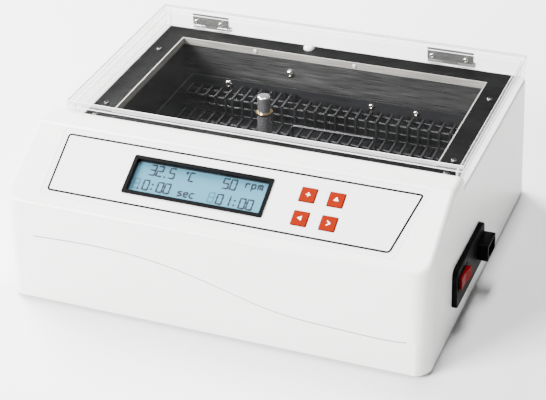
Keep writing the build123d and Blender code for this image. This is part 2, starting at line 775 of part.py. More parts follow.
def make_bush(x, shaft_r, bush_r, foot_z):
    """Flanged bush in the chamber floor, down to foot_z."""
    top = CHAMBER_FLOOR_Z + BEARING_HEAD
    bush = post(x, CY, foot_z, CHAMBER_FLOOR_Z, bush_r)
    bush += post(x, CY, CHAMBER_FLOOR_Z, top, bush_r + 2.5)
    return bush - post(x, CY, foot_z - 1, top + 1, shaft_r + PIN_PLAY)


def make_heater():
    """Flat heater mat stuck under the chamber floor, open round the bushes."""
    mat = chamber_block(-8, FLOOR_UNDER_Z - HEATER_THICK, FLOOR_UNDER_Z)
    for x in (CX - IDLER_SPAN, CX, CX + IDLER_SPAN):
        mat -= post(x, CY, FLOOR_UNDER_Z - HEATER_THICK - 1, FLOOR_UNDER_Z + 1, drive_bush_r() + 1)
    return mat


def make_insulation():
    """Insulation under the heater mat, open round the drive and the idlers."""
    top = FLOOR_UNDER_Z - HEATER_THICK
    slab = chamber_block(0, top - INSULATION_THICK, top)
    for x in (CX - IDLER_SPAN, CX, CX + IDLER_SPAN):
        slab -= post(x, CY, top - INSULATION_THICK - 1, top + 1, drive_bush_r() + 1)
    return slab


def make_motor():
    """Round shaker motor, bored for its shaft, under its bracket."""
    motor = post(CX, CY, MOTOR_Z, MOTOR_Z + MOTOR_HEIGHT, MOTOR_R)
    motor = fillet(motor.edges(), 1.2)
    return motor - post(CX, CY, MOTOR_Z + 2.8, MOTOR_Z + MOTOR_HEIGHT + 1, SHAFT_R + PIN_PLAY)


def make_motor_bracket():
    """Bridge across the chamber's underside that carries the motor."""
    top = FLOOR_UNDER_Z - HEATER_THICK - INSULATION_THICK
    under = top - SHEET
    half_w = CHAMBER_WIDTH / 2 + SHEET
    y0 = CY - BRACKET_HALF_DEPTH
    y1 = CY + BRACKET_HALF_DEPTH
    bridge = block(CX - half_w - SHEET, CX + half_w + SHEET, y0, y1, under, top)
    for side in (-1, 1):
        x0 = CX + side * half_w
        x1 = CX + side * (half_w + SHEET)
        bridge += block(min(x0, x1), max(x0, x1), y0, y1, under, DECK_Z - BRACKET_TOP_DROP)
    bridge -= post(CX, CY, under - 1, top + 1, drive_bush_r() + 1)
    for x in (CX - IDLER_SPAN, CX + IDLER_SPAN):
        bridge -= post(x, CY, under - 1, top + 1, idler_bush_r() + 1)
    return bridge


def make_thermal_cutout():
    """Thermal cutout clipped on the chamber's right wall."""
    x = CX + CHAMBER_WIDTH / 2 + SHEET
    return rod_x(x, x + CUTOUT_THICK, CY + CUTOUT_Y, CHAMBER_FLOOR_Z + CUTOUT_UP, CUTOUT_R)


def make_tray():
    """Tray on the drive: floor, four walls and the hubs for the pins."""
    half_w = TRAY_WIDTH / 2
    half_d = TRAY_DEPTH / 2
    tray = block(TRAY_X - half_w, TRAY_X + half_w, CY - half_d, CY + half_d, TRAY_Z, TRAY_WALL_TOP_Z)
    tray -= block(
        TRAY_X - half_w + TRAY_SHEET,
        TRAY_X + half_w - TRAY_SHEET,
        CY - half_d + TRAY_SHEET,
        CY + half_d - TRAY_SHEET,
        TRAY_TOP_Z,
        TRAY_WALL_TOP_Z + 1,
    )
    for x in (TRAY_X - IDLER_SPAN, TRAY_X, TRAY_X + IDLER_SPAN):
        tray += post(x, CY, TRAY_Z - HUB_HEIGHT, TRAY_Z, HUB_R)
    for x in (TRAY_X - IDLER_SPAN, TRAY_X, TRAY_X + IDLER_SPAN):
        radius = SHAFT_R if x == TRAY_X else IDLER_SHAFT_R
        tray -= post(x, CY, TRAY_Z - HUB_HEIGHT - 1, TRAY_Z, radius + PIN_PLAY)
    return tray


def divider_outline(side, top_height, top_depth, grow):
    """A stepped ring in the Y-Z plane; side is +1 for the rear rack, -1 for the front."""
    edge = CY + side * RACK_GAP / 2
    far = CY + side * (RACK_GAP / 2 + RACK_DEPTH + grow)
    step = CY + side * (RACK_GAP / 2 + RACK_DEPTH + grow - top_depth)
    shelf = TRAY_TOP_Z + SHELF_HEIGHT
    top = TRAY_TOP_Z + top_height
    strip = DIVIDER_STRIP
    outer = [
        (edge, TRAY_TOP_Z),
        (edge, shelf),
        (step, shelf),
        (step, top),
        (far, top),
        (far, TRAY_TOP_Z),
    ]
    inner = [
        (edge + side * strip, TRAY_TOP_Z + strip),
        (edge + side * strip, shelf - strip),
        (step + side * strip, shelf - strip),
        (step + side * strip, top - strip),
        (far - side * strip, top - strip),
        (far - side * strip, TRAY_TOP_Z + strip),
    ]
    return make_face(Polyline(*outer, close=True)) - make_face(Polyline(*inner, close=True))


def make_dividers(first, count, tall):
    """Dividers of both racks, from one place of the pitch on."""
    top_height = TOP_HEIGHT + (TALL_EXTRA if tall else 0)
    top_depth = TALL_DEPTH if tall else TOP_DEPTH
    grow = TALL_GROW if tall else 0.0
    dividers = []
    for side in (1, -1):
        face = Plane.YZ * divider_outline(side, top_height, top_depth, grow)
        ring = extrude(face, amount=DIVIDER_THICK / 2, both=True)
        for index in range(first, first + count):
            dividers.append(Pos(divider_x(index), 0, 0) * ring)
    return group(dividers)


def divider_x(index):
    """The place of one divider along X."""
    return TRAY_X - TRAY_WIDTH / 2 + TRAY_SHEET + DIVIDER_END + index * DIVIDER_PITCH


def make_rods():
    """Cross rods inside the dividers of both racks."""
    x0 = divider_x(0) - ROD_OVERHANG
    x1 = divider_x(DIVIDER_COUNT - 1) + ROD_OVERHANG
    near = RACK_GAP / 2 + DIVIDER_STRIP + ROD_R
    far = RACK_GAP / 2 + RACK_DEPTH - DIVIDER_STRIP - ROD_R
    riser = RACK_GAP / 2 + RACK_DEPTH - TOP_DEPTH + DIVIDER_STRIP + ROD_R
    high = TRAY_TOP_Z + TOP_HEIGHT - DIVIDER_STRIP - ROD_R
    shelf = TRAY_TOP_Z + SHELF_HEIGHT - DIVIDER_STRIP - ROD_R
    low = TRAY_TOP_Z + DIVIDER_STRIP + ROD_R
    places = [
        (riser, high),
        (riser, (high + shelf) / 2),
        (far, high),
        (near, shelf),
        ((near + riser) / 2, shelf),
        (near, low),
        (far, low),
    ]
    rods = []
    for side in (1, -1):
        for across, z in places:
            rods.append(rod_x(x0, x1, CY + side * across, z, ROD_R))
    return group(rods)


def make_bail():
    """Thin wire bail that stands on the shelf of the right rack."""
    first = LEFT_COUNT + TALL_COUNT + 1
    x0 = divider_x(first)
    x1 = divider_x(first + BAIL_SPAN)
    y = CY + RACK_GAP / 2 + BAIL_FROM_EDGE
    z0 = TRAY_TOP_Z + SHELF_HEIGHT
    z1 = TRAY_TOP_Z + TOP_HEIGHT
    path = FilletPolyline((x0, y, z0), (x0, y, z1), (x1, y, z1), (x1, y, z0), radius=BAIL_BEND_R)
    section = Plane(origin=(x0, y, z0), z_dir=(0, 0, 1)) * Circle(BAIL_R)
    return sweep(section, path=path)


def make_post():
    """Chrome post, thicker below its collar, in the walkway between the racks."""
    x = HOUSING_X + POST_X
    upper = post(x, CY, TRAY_TOP_Z, TRAY_TOP_Z + POST_HEIGHT, POST_R)
    upper = fillet(upper.edges().group_by(Axis.Z)[-1], POST_EDGE)
    return upper + post(x, CY, TRAY_TOP_Z, TRAY_TOP_Z + COLLAR_UP, POST_FOOT_R)


def make_post_collar():
    """Brass-coloured ring round the post."""
    z0 = TRAY_TOP_Z + COLLAR_UP
    ring = post(HOUSING_X + POST_X, CY, z0, z0 + COLLAR_THICK, COLLAR_R)
    return ring - post(HOUSING_X + POST_X, CY, z0 - 1, z0 + COLLAR_THICK + 1, POST_R)


def make_tray_screws():
    """Domed screws on the inner face of the tray's rear wall."""
    y = CY + TRAY_DEPTH / 2 - TRAY_SHEET
    screws = []
    z = TRAY_WALL_TOP_Z - TRAY_SCREW_DOWN
    big = TRAY_SCREW_LEFT_R
    small = TRAY_SCREW_R
    places = ((-TRAY_SCREW_SPREAD, big), (TRAY_SCREW_INNER, small), (TRAY_SCREW_SPREAD, small))
    for place, radius in places:
        screws.append(screw_on_wall(HOUSING_X + place, y, z, -1, radius, TRAY_SCREW_H, TRAY_SHEET))
    return group(screws)


def make_label():
    """Printed front label in the slope's recess."""
    outline = label_outline(LABEL_MARGIN - 0.2)
    label = SLOPE * Pos(0, 0, -LABEL_RECESS) * extrude(outline, amount=LABEL_THICK)
    label -= on_slope(BEZEL_X, BEZEL_UP, -1, 2, BEZEL_WIDTH + 0.2, BEZEL_HEIGHT + 0.2)
    hole = KEY_SIZE + 2 * KEY_GAP
    for _name, x, up in key_places():
        label -= on_slope(x, up, -1, 2, hole, hole, 1.0)
    return label


def make_bezel():
    """Black frame round the display, with a step that drops through the slope."""
    bezel = on_slope(BEZEL_X, BEZEL_UP, -BEZEL_PROUD, LABEL_RECESS, BEZEL_WIDTH, BEZEL_HEIGHT, 1.5)
    step_w = BEZEL_WIDTH - 2 * BEZEL_STEP - 0.2
    step_h = BEZEL_HEIGHT - 2 * BEZEL_STEP - 0.2
    bezel += on_slope(BEZEL_X, BEZEL_UP, LABEL_RECESS, WALL + 1, step_w, step_h)
    open_w = BEZEL_WIDTH - 2 * BEZEL_BORDER
    open_h = BEZEL_HEIGHT - 2 * BEZEL_BORDER
    return bezel - on_slope(BEZEL_X, BEZEL_UP, -2, WALL + 2, open_w, open_h)


def make_window():
    """Display glass, set down in the bezel."""
    open_w = BEZEL_WIDTH - 2 * BEZEL_BORDER
    open_h = BEZEL_HEIGHT - 2 * BEZEL_BORDER
    return on_slope(BEZEL_X, BEZEL_UP, WINDOW_DEPTH, WINDOW_DEPTH + WINDOW_THICK, open_w, open_h)


def make_display():
    """Liquid crystal module between the window and the control board."""
    open_w = BEZEL_WIDTH - 2 * BEZEL_BORDER
    open_h = BEZEL_HEIGHT - 2 * BEZEL_BORDER
    front = WINDOW_DEPTH + WINDOW_THICK
    rear = front + CELL_THICK
    cell = on_slope(BEZEL_X, BEZEL_UP, front, rear, open_w - 0.4, open_h - 0.4)
    back = on_slope(BEZEL_X, BEZEL_UP, rear, BOARD_DEPTH, BEZEL_WIDTH - 6, BEZEL_HEIGHT + 4)
    return cell + back


def make_control_board():
    """Control board on the posts behind the slope."""
    x, up = board_middle()
    rear = BOARD_DEPTH + BOARD_THICK
    board = on_slope(x, up, BOARD_DEPTH, rear, BOARD_WIDTH, BOARD_HEIGHT)
    board += on_slope(x - CHIP_X, up, rear, rear + CHIP_THICK, CHIP_SIZE, CHIP_SIZE)
    board += on_slope(x + PLUG_X, up - PLUG_DOWN, rear, rear + PLUG_DEPTH, PLUG_WIDTH, PLUG_DEPTH)
    return board


def make_key_switches():
    """One push switch behind each key, with a guide for its stem."""
    switches = []
    for _name, x, up in key_places():
        body = on_slope(x, up, SWITCH_TOP_DEPTH, BOARD_DEPTH, SWITCH_SIZE, SWITCH_SIZE)
        guide = SLOPE * Pos(x, up, -BOARD_DEPTH + 1) * extrude(Circle(KEY_STEM_R + STEM_PLAY), amount=20)
        switches.append(body - guide)
    return group(switches)


def make_key(x, up):
    """Square key cap with its stem."""
    cap = on_slope(x, up, -KEY_PROUD, WALL + KEY_SKIRT, KEY_SIZE, KEY_SIZE, 0.8)
    top = cap.faces().sort_by(Axis.Z)
    highest = max(top, key=lambda face: (face.center() - SLOPE.origin).dot(SLOPE.z_dir))
    cap = fillet(highest.edges(), 0.5)
    stem_end = SWITCH_TOP_DEPTH + STEM_GRIP
    length = stem_end - WALL - KEY_SKIRT + 0.2
    stem = SLOPE * Pos(x, up, -stem_end) * extrude(Circle(KEY_STEM_R), amount=length)
    return cap + stem


def make_power_plate():
    """Black plate that carries the switch and the inlet."""
    plate = Pos(SIDE_X, 0, 0) * extrude(Plane.YZ * power_plate_outline(0), amount=PLATE_THICK)
    outer = plate.faces().sort_by(Axis.X)[-1]
    plate = fillet(outer.edges(), 1.0)
    grow = SWITCH_WALL + 0.2
    plate -= side_hole(ROCKER_Y, ROCKER_Z, ROCKER_LENGTH, ROCKER_HEIGHT, grow)
    return plate - side_hole(INLET_Y, INLET_Z, INLET_LENGTH, INLET_HEIGHT, 0)


def switch_block(x0, x1, half_l, half_h):
    """A block round the rocker's middle line."""
    return block(x0, x1, ROCKER_Y - half_l, ROCKER_Y + half_l, ROCKER_Z - half_h, ROCKER_Z + half_h)


def make_switch_frame():
    """Hollow switch body behind the rocker, with its pivot bores."""
    outer_l = ROCKER_LENGTH + 2 * SWITCH_WALL
    outer_h = ROCKER_HEIGHT + 2 * SWITCH_WALL
    x1 = PLATE_FACE_X + 0.4
    x0 = x1 - SWITCH_BODY_DEPTH
    body = switch_block(x0, x1, outer_l / 2, outer_h / 2)
    well_l = ROCKER_LENGTH / 2 + ROCKER_PLAY
    well_h = ROCKER_HEIGHT / 2 + ROCKER_PLAY / 2
    body -= switch_block(x0 + SWITCH_BACK, x1 + 1, well_l, well_h)
    bore = ROCKER_PIN_R + PIN_PLAY
    return body - post(rocker_x(), ROCKER_Y, ROCKER_Z - outer_h, ROCKER_Z + outer_h, bore)


def rocker_x():
    """The rocker's pivot line."""
    return PLATE_FACE_X - ROCKER_DEPTH / 2


def make_rocker():
    """Red rocker, a shallow V on top, tilted to its off side, with trunnions."""
    half = ROCKER_LENGTH / 2
    rise = ROCKER_PROUD + ROCKER_DEPTH / 2
    fall = math.tan(math.radians(ROCKER_TILT)) * half
    narrow = half * 0.55
    outline = [
        (rise, -half),
        (rise - fall, 0),
        (rise, half),
        (-ROCKER_DEPTH, narrow),
        (-ROCKER_DEPTH, -narrow),
    ]
    face = make_face(Polyline(*outline, close=True))
    height = ROCKER_HEIGHT
    rocker = Pos(0, 0, -height / 2) * extrude(face, amount=height)
    rocker += Cylinder(ROCKER_PIN_R, height + 2 * SWITCH_WALL)
    return Pos(rocker_x(), ROCKER_Y, ROCKER_Z) * Rot(0, 0, -ROCKER_TILT) * rocker


def make_inlet():
    """Raised mains inlet with its recess."""
    x1 = PLATE_FACE_X + INLET_PROUD
    x0 = SIDE_X - INLET_BODY
    half_l = INLET_LENGTH / 2
    half_h = INLET_HEIGHT / 2
    body = block(x0, x1, INLET_Y - half_l, INLET_Y + half_l, INLET_Z - half_h, INLET_Z + half_h)
    body = fillet(body.edges().filter_by(Axis.X), 1.5)
    outer = body.faces().sort_by(Axis.X)[-1]
    body = fillet(outer.edges(), 0.6)
    half_l -= INLET_WALL
    half_h -= INLET_WALL
    y0 = INLET_Y - half_l
    z0 = INLET_Z - half_h
    return body - block(x1 - INLET_RECESS, x1 + 1, y0, y0 + 2 * half_l, z0, z0 + 2 * half_h)


def make_inlet_pins():
    """Three flat pins in the inlet's recess."""
    x0 = PLATE_FACE_X + INLET_PROUD - INLET_RECESS
    x1 = x0 + INLET_PIN_LENGTH
    half_t = INLET_PIN_THICK / 2
    half_w = INLET_PIN_WIDTH / 2
    pins = []
    for side, rise in ((-1, -INLET_PIN_LOW), (0, INLET_PIN_HIGH), (1, -INLET_PIN_LOW)):
        y = INLET_Y + side * INLET_PIN_PITCH
        z = INLET_Z + rise
        pins.append(block(x0, x1, y - half_t, y + half_t, z - half_w, z + half_w))
    return group(pins)


def make_supply_board():
    """Power supply board on standoffs over the bottom cover, behind the plate."""
    x1 = HOUSING_X + HALF_W - SUPPLY_FROM_SIDE
    x0 = x1 - SUPPLY_WIDTH
    y0 = FRONT_Y + SUPPLY_FROM_FRONT
    y1 = y0 + SUPPLY_DEPTH
    z0 = COVER_Z + COVER_THICK
    z1 = z0 + STANDOFF_HEIGHT
    board = block(x0, x1, y0, y1, z1, z1 + BOARD_THICK)
    for x in (x0 + STANDOFF_INSET, x1 - STANDOFF_INSET):
        for y in (y0 + STANDOFF_INSET, y1 - STANDOFF_INSET):
            board += post(x, y, z0, z1, STANDOFF_R)
    top = z1 + BOARD_THICK
    coil_x = x0 + COIL_INSET
    coil_y = (y0 + y1 - COIL_SIZE) / 2
    board += block(coil_x, coil_x + COIL_SIZE, coil_y, coil_y + COIL_SIZE, top, top + COIL_HEIGHT)
    x = x1 - CAPACITOR_INSET
    board += post(x, y0 + CAPACITOR_INSET, top, top + CAPACITOR_HEIGHT, CAPACITOR_R)
    return board + post(x, y1 - CAPACITOR_INSET, top, top + SMALL_CAPACITOR_HEIGHT, SMALL_CAPACITOR_R)


def make_all():
    """Every node of the heater, by name."""
    idler_foot_z = CHAMBER_FLOOR_Z - BEARING_LENGTH
    left, right = hinge_places()
    lid_screw_y = LID_REAR_Y - LID_WALL
    lid_screws = make_leaf_screws(lid_screw_y, HINGE_Z + HINGE_SCREW_OUT, -1, LID_WALL + HINGE_LEAF)
    leaf_face_y = LID_REAR_Y + LID_SETBACK + HINGE_LEAF
    leaf_grip = HINGE_LEAF + WALL - 0.5
    housing_screws = make_leaf_screws(leaf_face_y, HINGE_Z - HINGE_SCREW_OUT, 1, leaf_grip)
    right_first = LEFT_COUNT + TALL_COUNT
    nodes = {
        "housing": make_housing(),
        "bottom_cover": make_bottom_cover(),
        "rubber_feet": make_feet(),
        "bottom_screws": make_bottom_screws(),
        "chamber": make_chamber(),
        "chamber_rim": make_rim(),
        "rim_screws": make_rim_screws(),
        "flange_screws": make_flange_screws(),
        "wall_screws": make_wall_screws(),
        "temperature_sensor": make_sensor(),
        "lid_bumper": make_bumper(),
        "lid_shell": make_lid(),
        "moving_leaf_left": make_moving_leaf(*left),
        "moving_leaf_right": make_moving_leaf(*right),
        "fixed_leaf_left": make_fixed_leaf(*left),
        "fixed_leaf_right": make_fixed_leaf(*right),
        "hinge_pin_left": make_hinge_pin(*left),
        "hinge_pin_right": make_hinge_pin(*right),
        "lid_hinge_screws": lid_screws,
        "housing_hinge_screws": housing_screws,
        "drive_crank": make_crank(),
        "motor_shaft": make_motor_shaft(),
        "idler_crank_left": make_idler(CX - IDLER_SPAN),
        "idler_crank_right": make_idler(CX + IDLER_SPAN),
        "shaft_bush": make_bush(CX, SHAFT_R, drive_bush_r(), MOTOR_Z + MOTOR_HEIGHT + CRANK_GAP),
        "idler_bush_left": make_bush(CX - IDLER_SPAN, IDLER_SHAFT_R, idler_bush_r(), idler_foot_z),
        "idler_bush_right": make_bush(CX + IDLER_SPAN, IDLER_SHAFT_R, idler_bush_r(), idler_foot_z),
        "heater_mat": make_heater(),
        "insulation": make_insulation(),
        "shaker_motor": make_motor(),
        "motor_bracket": make_motor_bracket(),
        "thermal_cutout": make_thermal_cutout(),
        "card_tray": make_tray(),
        "rack_left": make_dividers(0, LEFT_COUNT, False),
        "rack_tall": make_dividers(LEFT_COUNT, TALL_COUNT, True),
        "rack_right": make_dividers(right_first, DIVIDER_COUNT - right_first, False),
        "rack_rods": make_rods(),
        "rack_bail": make_bail(),
        "centre_post": make_post(),
        "post_collar": make_post_collar(),
        "tray_screws": make_tray_screws(),
        "front_label": make_label(),
        "display_bezel": make_bezel(),
        "display_window": make_window(),
        "display_module": make_display(),
        "control_board": make_control_board(),
        "key_switches": make_key_switches(),
        "power_plate": make_power_plate(),
        "switch_frame": make_switch_frame(),
        "power_rocker": make_rocker(),
        "mains_inlet": make_inlet(),
        "inlet_pins": make_inlet_pins(),
        "supply_board": make_supply_board(),
    }
    for name, x, up in key_places():
        nodes[name] = make_key(x, up)
    return nodes


os.makedirs("parts", exist_ok=True)
for node_name, shape in make_all().items():
    export_step(shape, f"parts/{node_name}.step")
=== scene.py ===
"""Gel card heater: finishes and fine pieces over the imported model."""

import math

import bmesh
import bpy
from bpy.props import FloatProperty, FloatVectorProperty, PointerProperty
from mathutils import Matrix, Vector


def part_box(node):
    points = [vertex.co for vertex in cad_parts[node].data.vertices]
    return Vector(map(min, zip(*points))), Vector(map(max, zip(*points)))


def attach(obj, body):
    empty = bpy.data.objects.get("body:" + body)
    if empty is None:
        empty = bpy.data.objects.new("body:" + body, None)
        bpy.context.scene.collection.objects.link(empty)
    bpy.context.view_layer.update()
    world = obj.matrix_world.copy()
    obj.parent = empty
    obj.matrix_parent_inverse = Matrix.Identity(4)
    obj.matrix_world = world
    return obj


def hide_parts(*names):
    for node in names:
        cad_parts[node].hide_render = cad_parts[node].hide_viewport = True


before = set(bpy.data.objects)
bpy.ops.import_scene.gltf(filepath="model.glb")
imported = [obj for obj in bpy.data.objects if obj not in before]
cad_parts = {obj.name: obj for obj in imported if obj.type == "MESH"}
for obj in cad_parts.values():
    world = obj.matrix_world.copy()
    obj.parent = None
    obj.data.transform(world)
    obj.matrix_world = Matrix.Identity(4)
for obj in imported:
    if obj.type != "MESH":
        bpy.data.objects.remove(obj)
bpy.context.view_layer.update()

bl_info = {
    "name": "Gel card heater",
    "version": (1, 0, 0),
    "blender": (4, 5, 0),
    "location": "View3D > Sidebar > Heater",
    "description": "Finishes and fine pieces of a bench heater for gel cards",
    "category": "Object",
}

MM = 0.001

# The slope of the console: its foot, its rise and its run
HOUSING_LOW, HOUSING_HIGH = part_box("housing")
HOUSING_X = (HOUSING_LOW.x + HOUSING_HIGH.x) / 2
SLOPE_FOOT = Vector((HOUSING_X, -137.15 * MM, 88.2 * MM))
SLOPE_ANGLE = math.atan2(34.0, 62.6)

# The lower front face: its lean and its foot
FRONT_LEAN = math.atan2(4.0, 85.2)
WAVE_FOOT = Vector((0.0, HOUSING_LOW.y, 3.0 * MM))

# The painted shadow under the wave step, a grey wedge: its two sides in the corner
WAVE_SHADOW_WEDGE = (0.7 * MM, 1.5 * MM)

# How the step's corner is found on the housing: reach, height, half width, least step and count
WAVE_REACH = 0.02 * MM
WAVE_LEAST_Z = 25 * MM
WAVE_HALF = 157 * MM
WAVE_STEP = 0.5 * MM
WAVE_POINTS = 8

# The label's line, millimetres across and up the slope, its rounding and the label's height
LINE_CORNERS = ((-136.4, 13.2), (136.3, 13.2), (147.9, 65.0), (-137.8, 65.0))
LINE_ROUNDING = 3.0 * MM
LABEL_FACE = -0.1

# The display window's low left corner, and the cell's height, both in millimetres
READ_OUT_CORNER = (-75.4, 27.1)
CELL_FACE = -3.6

# The light of the cell, how far the two prints stand off it, and the unlit bars' share of a bar
CELL_GLOW = 0.15
READ_OUT_LIFT = 0.02
UNLIT_LIFT = 0.01
UNLIT_BAR = 0.8

# The share of a bar's pointed tip that lies before the point it is drawn to
BAR_END = 0.6

# Cells no wider than this, in millimetres, have bars with this share of the usual width
SMALL_CELL = 2
SMALL_BAR = 0.7

# A dot: how far it reaches back and on, millimetres, and its width in bars
DOT_BACK = 0.1
DOT_ON = 0.35
DOT_WIDTH = 1.15

# Where a point and a colon have their dots, in shares of the cell's height
DOTS = {".": (0.0,), ":": (0.0, 1.0)}

# The bars of a digit, in a cell one wide and one high
DIGIT_BARS = {
    "a": ((0, 1), (1, 1)),
    "b": ((1, 1), (1, 0.5)),
    "c": ((1, 0.5), (1, 0)),
    "d": ((0, 0), (1, 0)),
    "e": ((0, 0.5), (0, 0)),
    "f": ((0, 1), (0, 0.5)),
    "g": ((0, 0.5), (1, 0.5)),
}
DIGITS = {
    "0": "abcdef",
    "1": "bc",
    "2": "abged",
    "3": "abgcd",
    "5": "afgcd",
    "8": "abcdefg",
}
LETTERS = {
    "r": (((0, 0), (0, 1)), ((0, 0.75), (0.4, 1)), ((0.4, 1), (0.85, 0.9))),
    "p": (((0, -0.55), (0, 1)), ((0, 1), (0.8, 0.9)), ((0.8, 0.9), (0.8, 0.1)), ((0.8, 0.1), (0, 0))),
    "m": (((0, 0), (0, 1)), ((0, 1), (1, 1)), ((0.5, 1), (0.5, 0.1)), ((1, 1), (1, 0))),
    "s": (((0.9, 1), (0.05, 0.9)), ((0.05, 0.9), (0.1, 0.55)), ((0.1, 0.55), (0.85, 0.45)),
          ((0.85, 0.45), (0.9, 0.1)), ((0.9, 0.1), (0, 0))),
    "e": (((0, 0.1), (0, 0.9)), ((0, 0.9), (0.8, 1)), ((0.8, 1), (0.85, 0.5)),
          ((0.85, 0.5), (0, 0.5)), ((0, 0.05), (0.85, 0))),
    "c": (((0.9, 1), (0.1, 0.95)), ((0, 0.9), (0, 0.1)), ((0.05, 0), (0.85, 0))),
    "C": (((0.9, 1), (0.05, 1)), ((0, 1), (0, 0)), ((0.05, 0), (0.9, 0))),
    "o": (((0, 0), (0, 1)), ((0, 1), (1, 1)), ((1, 1), (1, 0)), ((1, 0), (0, 0))),
}
# Text, left end and foot in the window, cell width, height and pitch
WORDS = (
    ("32", 12.3, 16.2, 4.3, 8.6, 5.8),
    (".", 24.9, 16.3, 0.5, 0.5, 2.0),
    ("5", 28.1, 16.2, 4.3, 8.6, 5.8),
    ("o", 41.4, 22.4, 1.4, 1.5, 2.0),
    ("C", 44.6, 16.7, 4.0, 7.2, 5.0),
    ("50", 72.0, 16.0, 4.3, 8.4, 6.0),
    ("rpm", 89.6, 19.6, 3.4, 3.9, 4.9),
    (".", 7.7, 3.2, 0.5, 0.5, 2.0),
    ("0", 11.2, 3.0, 4.3, 8.2, 5.8),
    (":", 18.4, 4.4, 0.6, 4.0, 2.0),
    ("00", 22.8, 3.0, 4.3, 8.2, 5.8),
    ("sec", 40.2, 3.0, 3.5, 3.9, 4.9),
    ("01", 71.4, 2.2, 4.3, 8.2, 6.0),
    (":", 85.4, 3.4, 0.6, 4.0, 2.0),
    ("00", 89.6, 2.0, 4.3, 8.2, 5.9),
)
FAINT_WORDS = (("8", 3.4, 3.2, 4.3, 8.2, 5.8), ("8", 64.6, 2.5, 4.3, 8.2, 5.8))

# The keys: body, node, place across and up the slope
KEYS = (
    ("plus_key", "key_plus", 64.2, 48.0),
    ("up_key", "key_up", 85.9, 48.0),
    ("left_key", "key_left", 64.2, 27.9),
    ("right_key", "key_right", 85.9, 27.9),
)

# A key's face above the slope, and how far its mark is sunk in it, millimetres
KEY_FACE = 0.7
MARK_SUNK = 0.005

# The marks on the keys, millimetres and degrees: bars and their width, or a triangle's turn and reach
MARK_BARS = {
    "key_plus": (((-1.7, 0), (1.7, 0), 0.9), ((0, -1.7), (0, 1.7), 0.9)),
    "key_right": (((-1.2, 1.9), (1.3, 0.0), 0.95), ((-1.2, -1.9), (1.3, 0.0), 0.95)),
}
TRIANGLE_TURNS = {"key_up": 0, "key_left": 90}
TRIANGLE_REACH = 2.3

# The lid: its lowest and highest corners, its sheet, the seams between sheets, its edges' polish
LID_LOW, LID_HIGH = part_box("lid_shell")
LID_SHEET = 5.0 * MM
LID_SEAM = 0.05 * MM
LID_POLISH = 0.4 * MM

# The height below which the roof's edge is clearer, and the share of it that shows there
LID_EDGE_FOOT = (LID_HIGH.z - 0.55 * LID_SHEET, 0.15)

# The order of the lid's materials, the last a painted glint on the rounded edge lines, and how far a square
# face's normal lies along an axis
TOP_FACES, WALL_FACES, EDGE_FACES, PAINTED_GLINT_LINES = range(4)
SQUARE = 0.99

# The chamber's flange: its thickness, and the share of the steel's colour that is left on it, a painted
# shade for the dark reflections on its top
FLANGE_THICKNESS = 1.7 * MM
FLANGE_PAINTED_SHADE = 0.08

# Where the hinges' screws lie across, millimetres
HINGE_SCREWS_X = (-128.45, -105.95, 83.55, 112.05)

# Screws of a node, millimetres: body, way the heads face, shank, then place, radius and height of each
SCREWS = {
    "lid_hinge_screws": ("lid", (0, -1, 0), 6.2,
                         [((x, 129.25, 120.1), 2.2, 1.2) for x in HINGE_SCREWS_X]),
    "housing_hinge_screws": ("base", (0, 1, 0), 3.0,
                             [((x, 135.65, 104.9), 2.2, 1.2) for x in HINGE_SCREWS_X]),
    "wall_screws": ("base", (0, -1, 0), 3.0, [((-35.6, 111.3, 93.0), 3.6, 2.2)]),
    "tray_screws": ("tray", (0, -1, 0), 1.5, [
        ((-90.1, 104.8, 77.5), 4.0, 1.8),
        ((38.9, 104.8, 77.5), 2.7, 1.8),
        ((77.9, 104.8, 77.5), 2.7, 1.8),
    ]),
    "flange_screws": ("base", (0, 0, 1), 3.0, [
        ((x, y, 112.9), 2.6, 1.6) for x in (-143.35, 145.15) for y in (-37.45, -17.5, 83.3)
    ]),
}

# A screw's rings from shank to socket, in shares of its head's radius and height, and their sides
SHANK_SHARE = 0.5
HEAD_ROWS = (
    (SHANK_SHARE, 0.0),
    (1.0, 0.0),
    (1.0, 0.3),
    (0.95, 0.55),
    (0.84, 0.78),
    (0.68, 0.93),
    (0.53, 1.0),
)
SOCKET_ROWS = ((0.45, 0.97), (0.441, 0.35))
SCREW_SIDES = 24

# The first screw's socket turn, in radians, and the angle in degrees up to which shading is smooth
SOCKET_TURN = 0.3
SMOOTH_ANGLE = 35

# The middle range of a noise, and the blur about a height where a value changes
NOISE_LOW = 0.3
NOISE_HIGH = 0.7
HEIGHT_BLUR = 0.2 * MM

# Worked surfaces: the coat's roughness, the least roughness, and the grain's detail
COAT_ROUGH = 0.15
LEAST_ROUGH = 0.02
GRAIN_DETAIL = 4.0

# Brushed steel: its streaks, their roughness and their relief in millimetres, the clouds over them
STREAK_SCALE = 60.0
STREAK_STRETCH = (0.6, 40.0, 40.0)
STREAK_DETAIL = 6.0
STREAK_SMOOTHER = 0.1
STREAK_ROUGHER = 0.12
STREAK_RELIEF = 0.25
STREAK_DEPTH = 0.02
CLOUD_SCALE = 14.0
CLOUD_PLAY = 0.12

# Clear sheets: the marks that wiping leaves, their roughness and their relief in millimetres
WIPE_SCALE = 45.0
WIPE_STRETCH = (1.0, 3.0, 1.0)
WIPE_DETAIL = 5.0
WIPE_ROUGHER = 0.05
WIPE_RELIEF = 0.04
WIPE_DEPTH = 0.02

# The stage, metres: half the floor, and the strength of the white sky
FLOOR_HALF = 6.0
SKY_STRENGTH = 0.22

# Lights, metres and watts: name, place, point looked at, size and power
LIGHTS = (
    ("key_light", (-1.5, -1.9, 1.3), (0.0, 0.0, 0.05), (1.3, 1.0), 330.0),
    ("rear_light", (-1.5, 0.9, 1.7), (0.0, 0.0, 0.05), (1.3, 1.0), 250.0),
    ("top_light", (0.10, 0.15, 1.9), (0.10, 0.15, 0.0), (0.3, 1.0), 50.0),
)

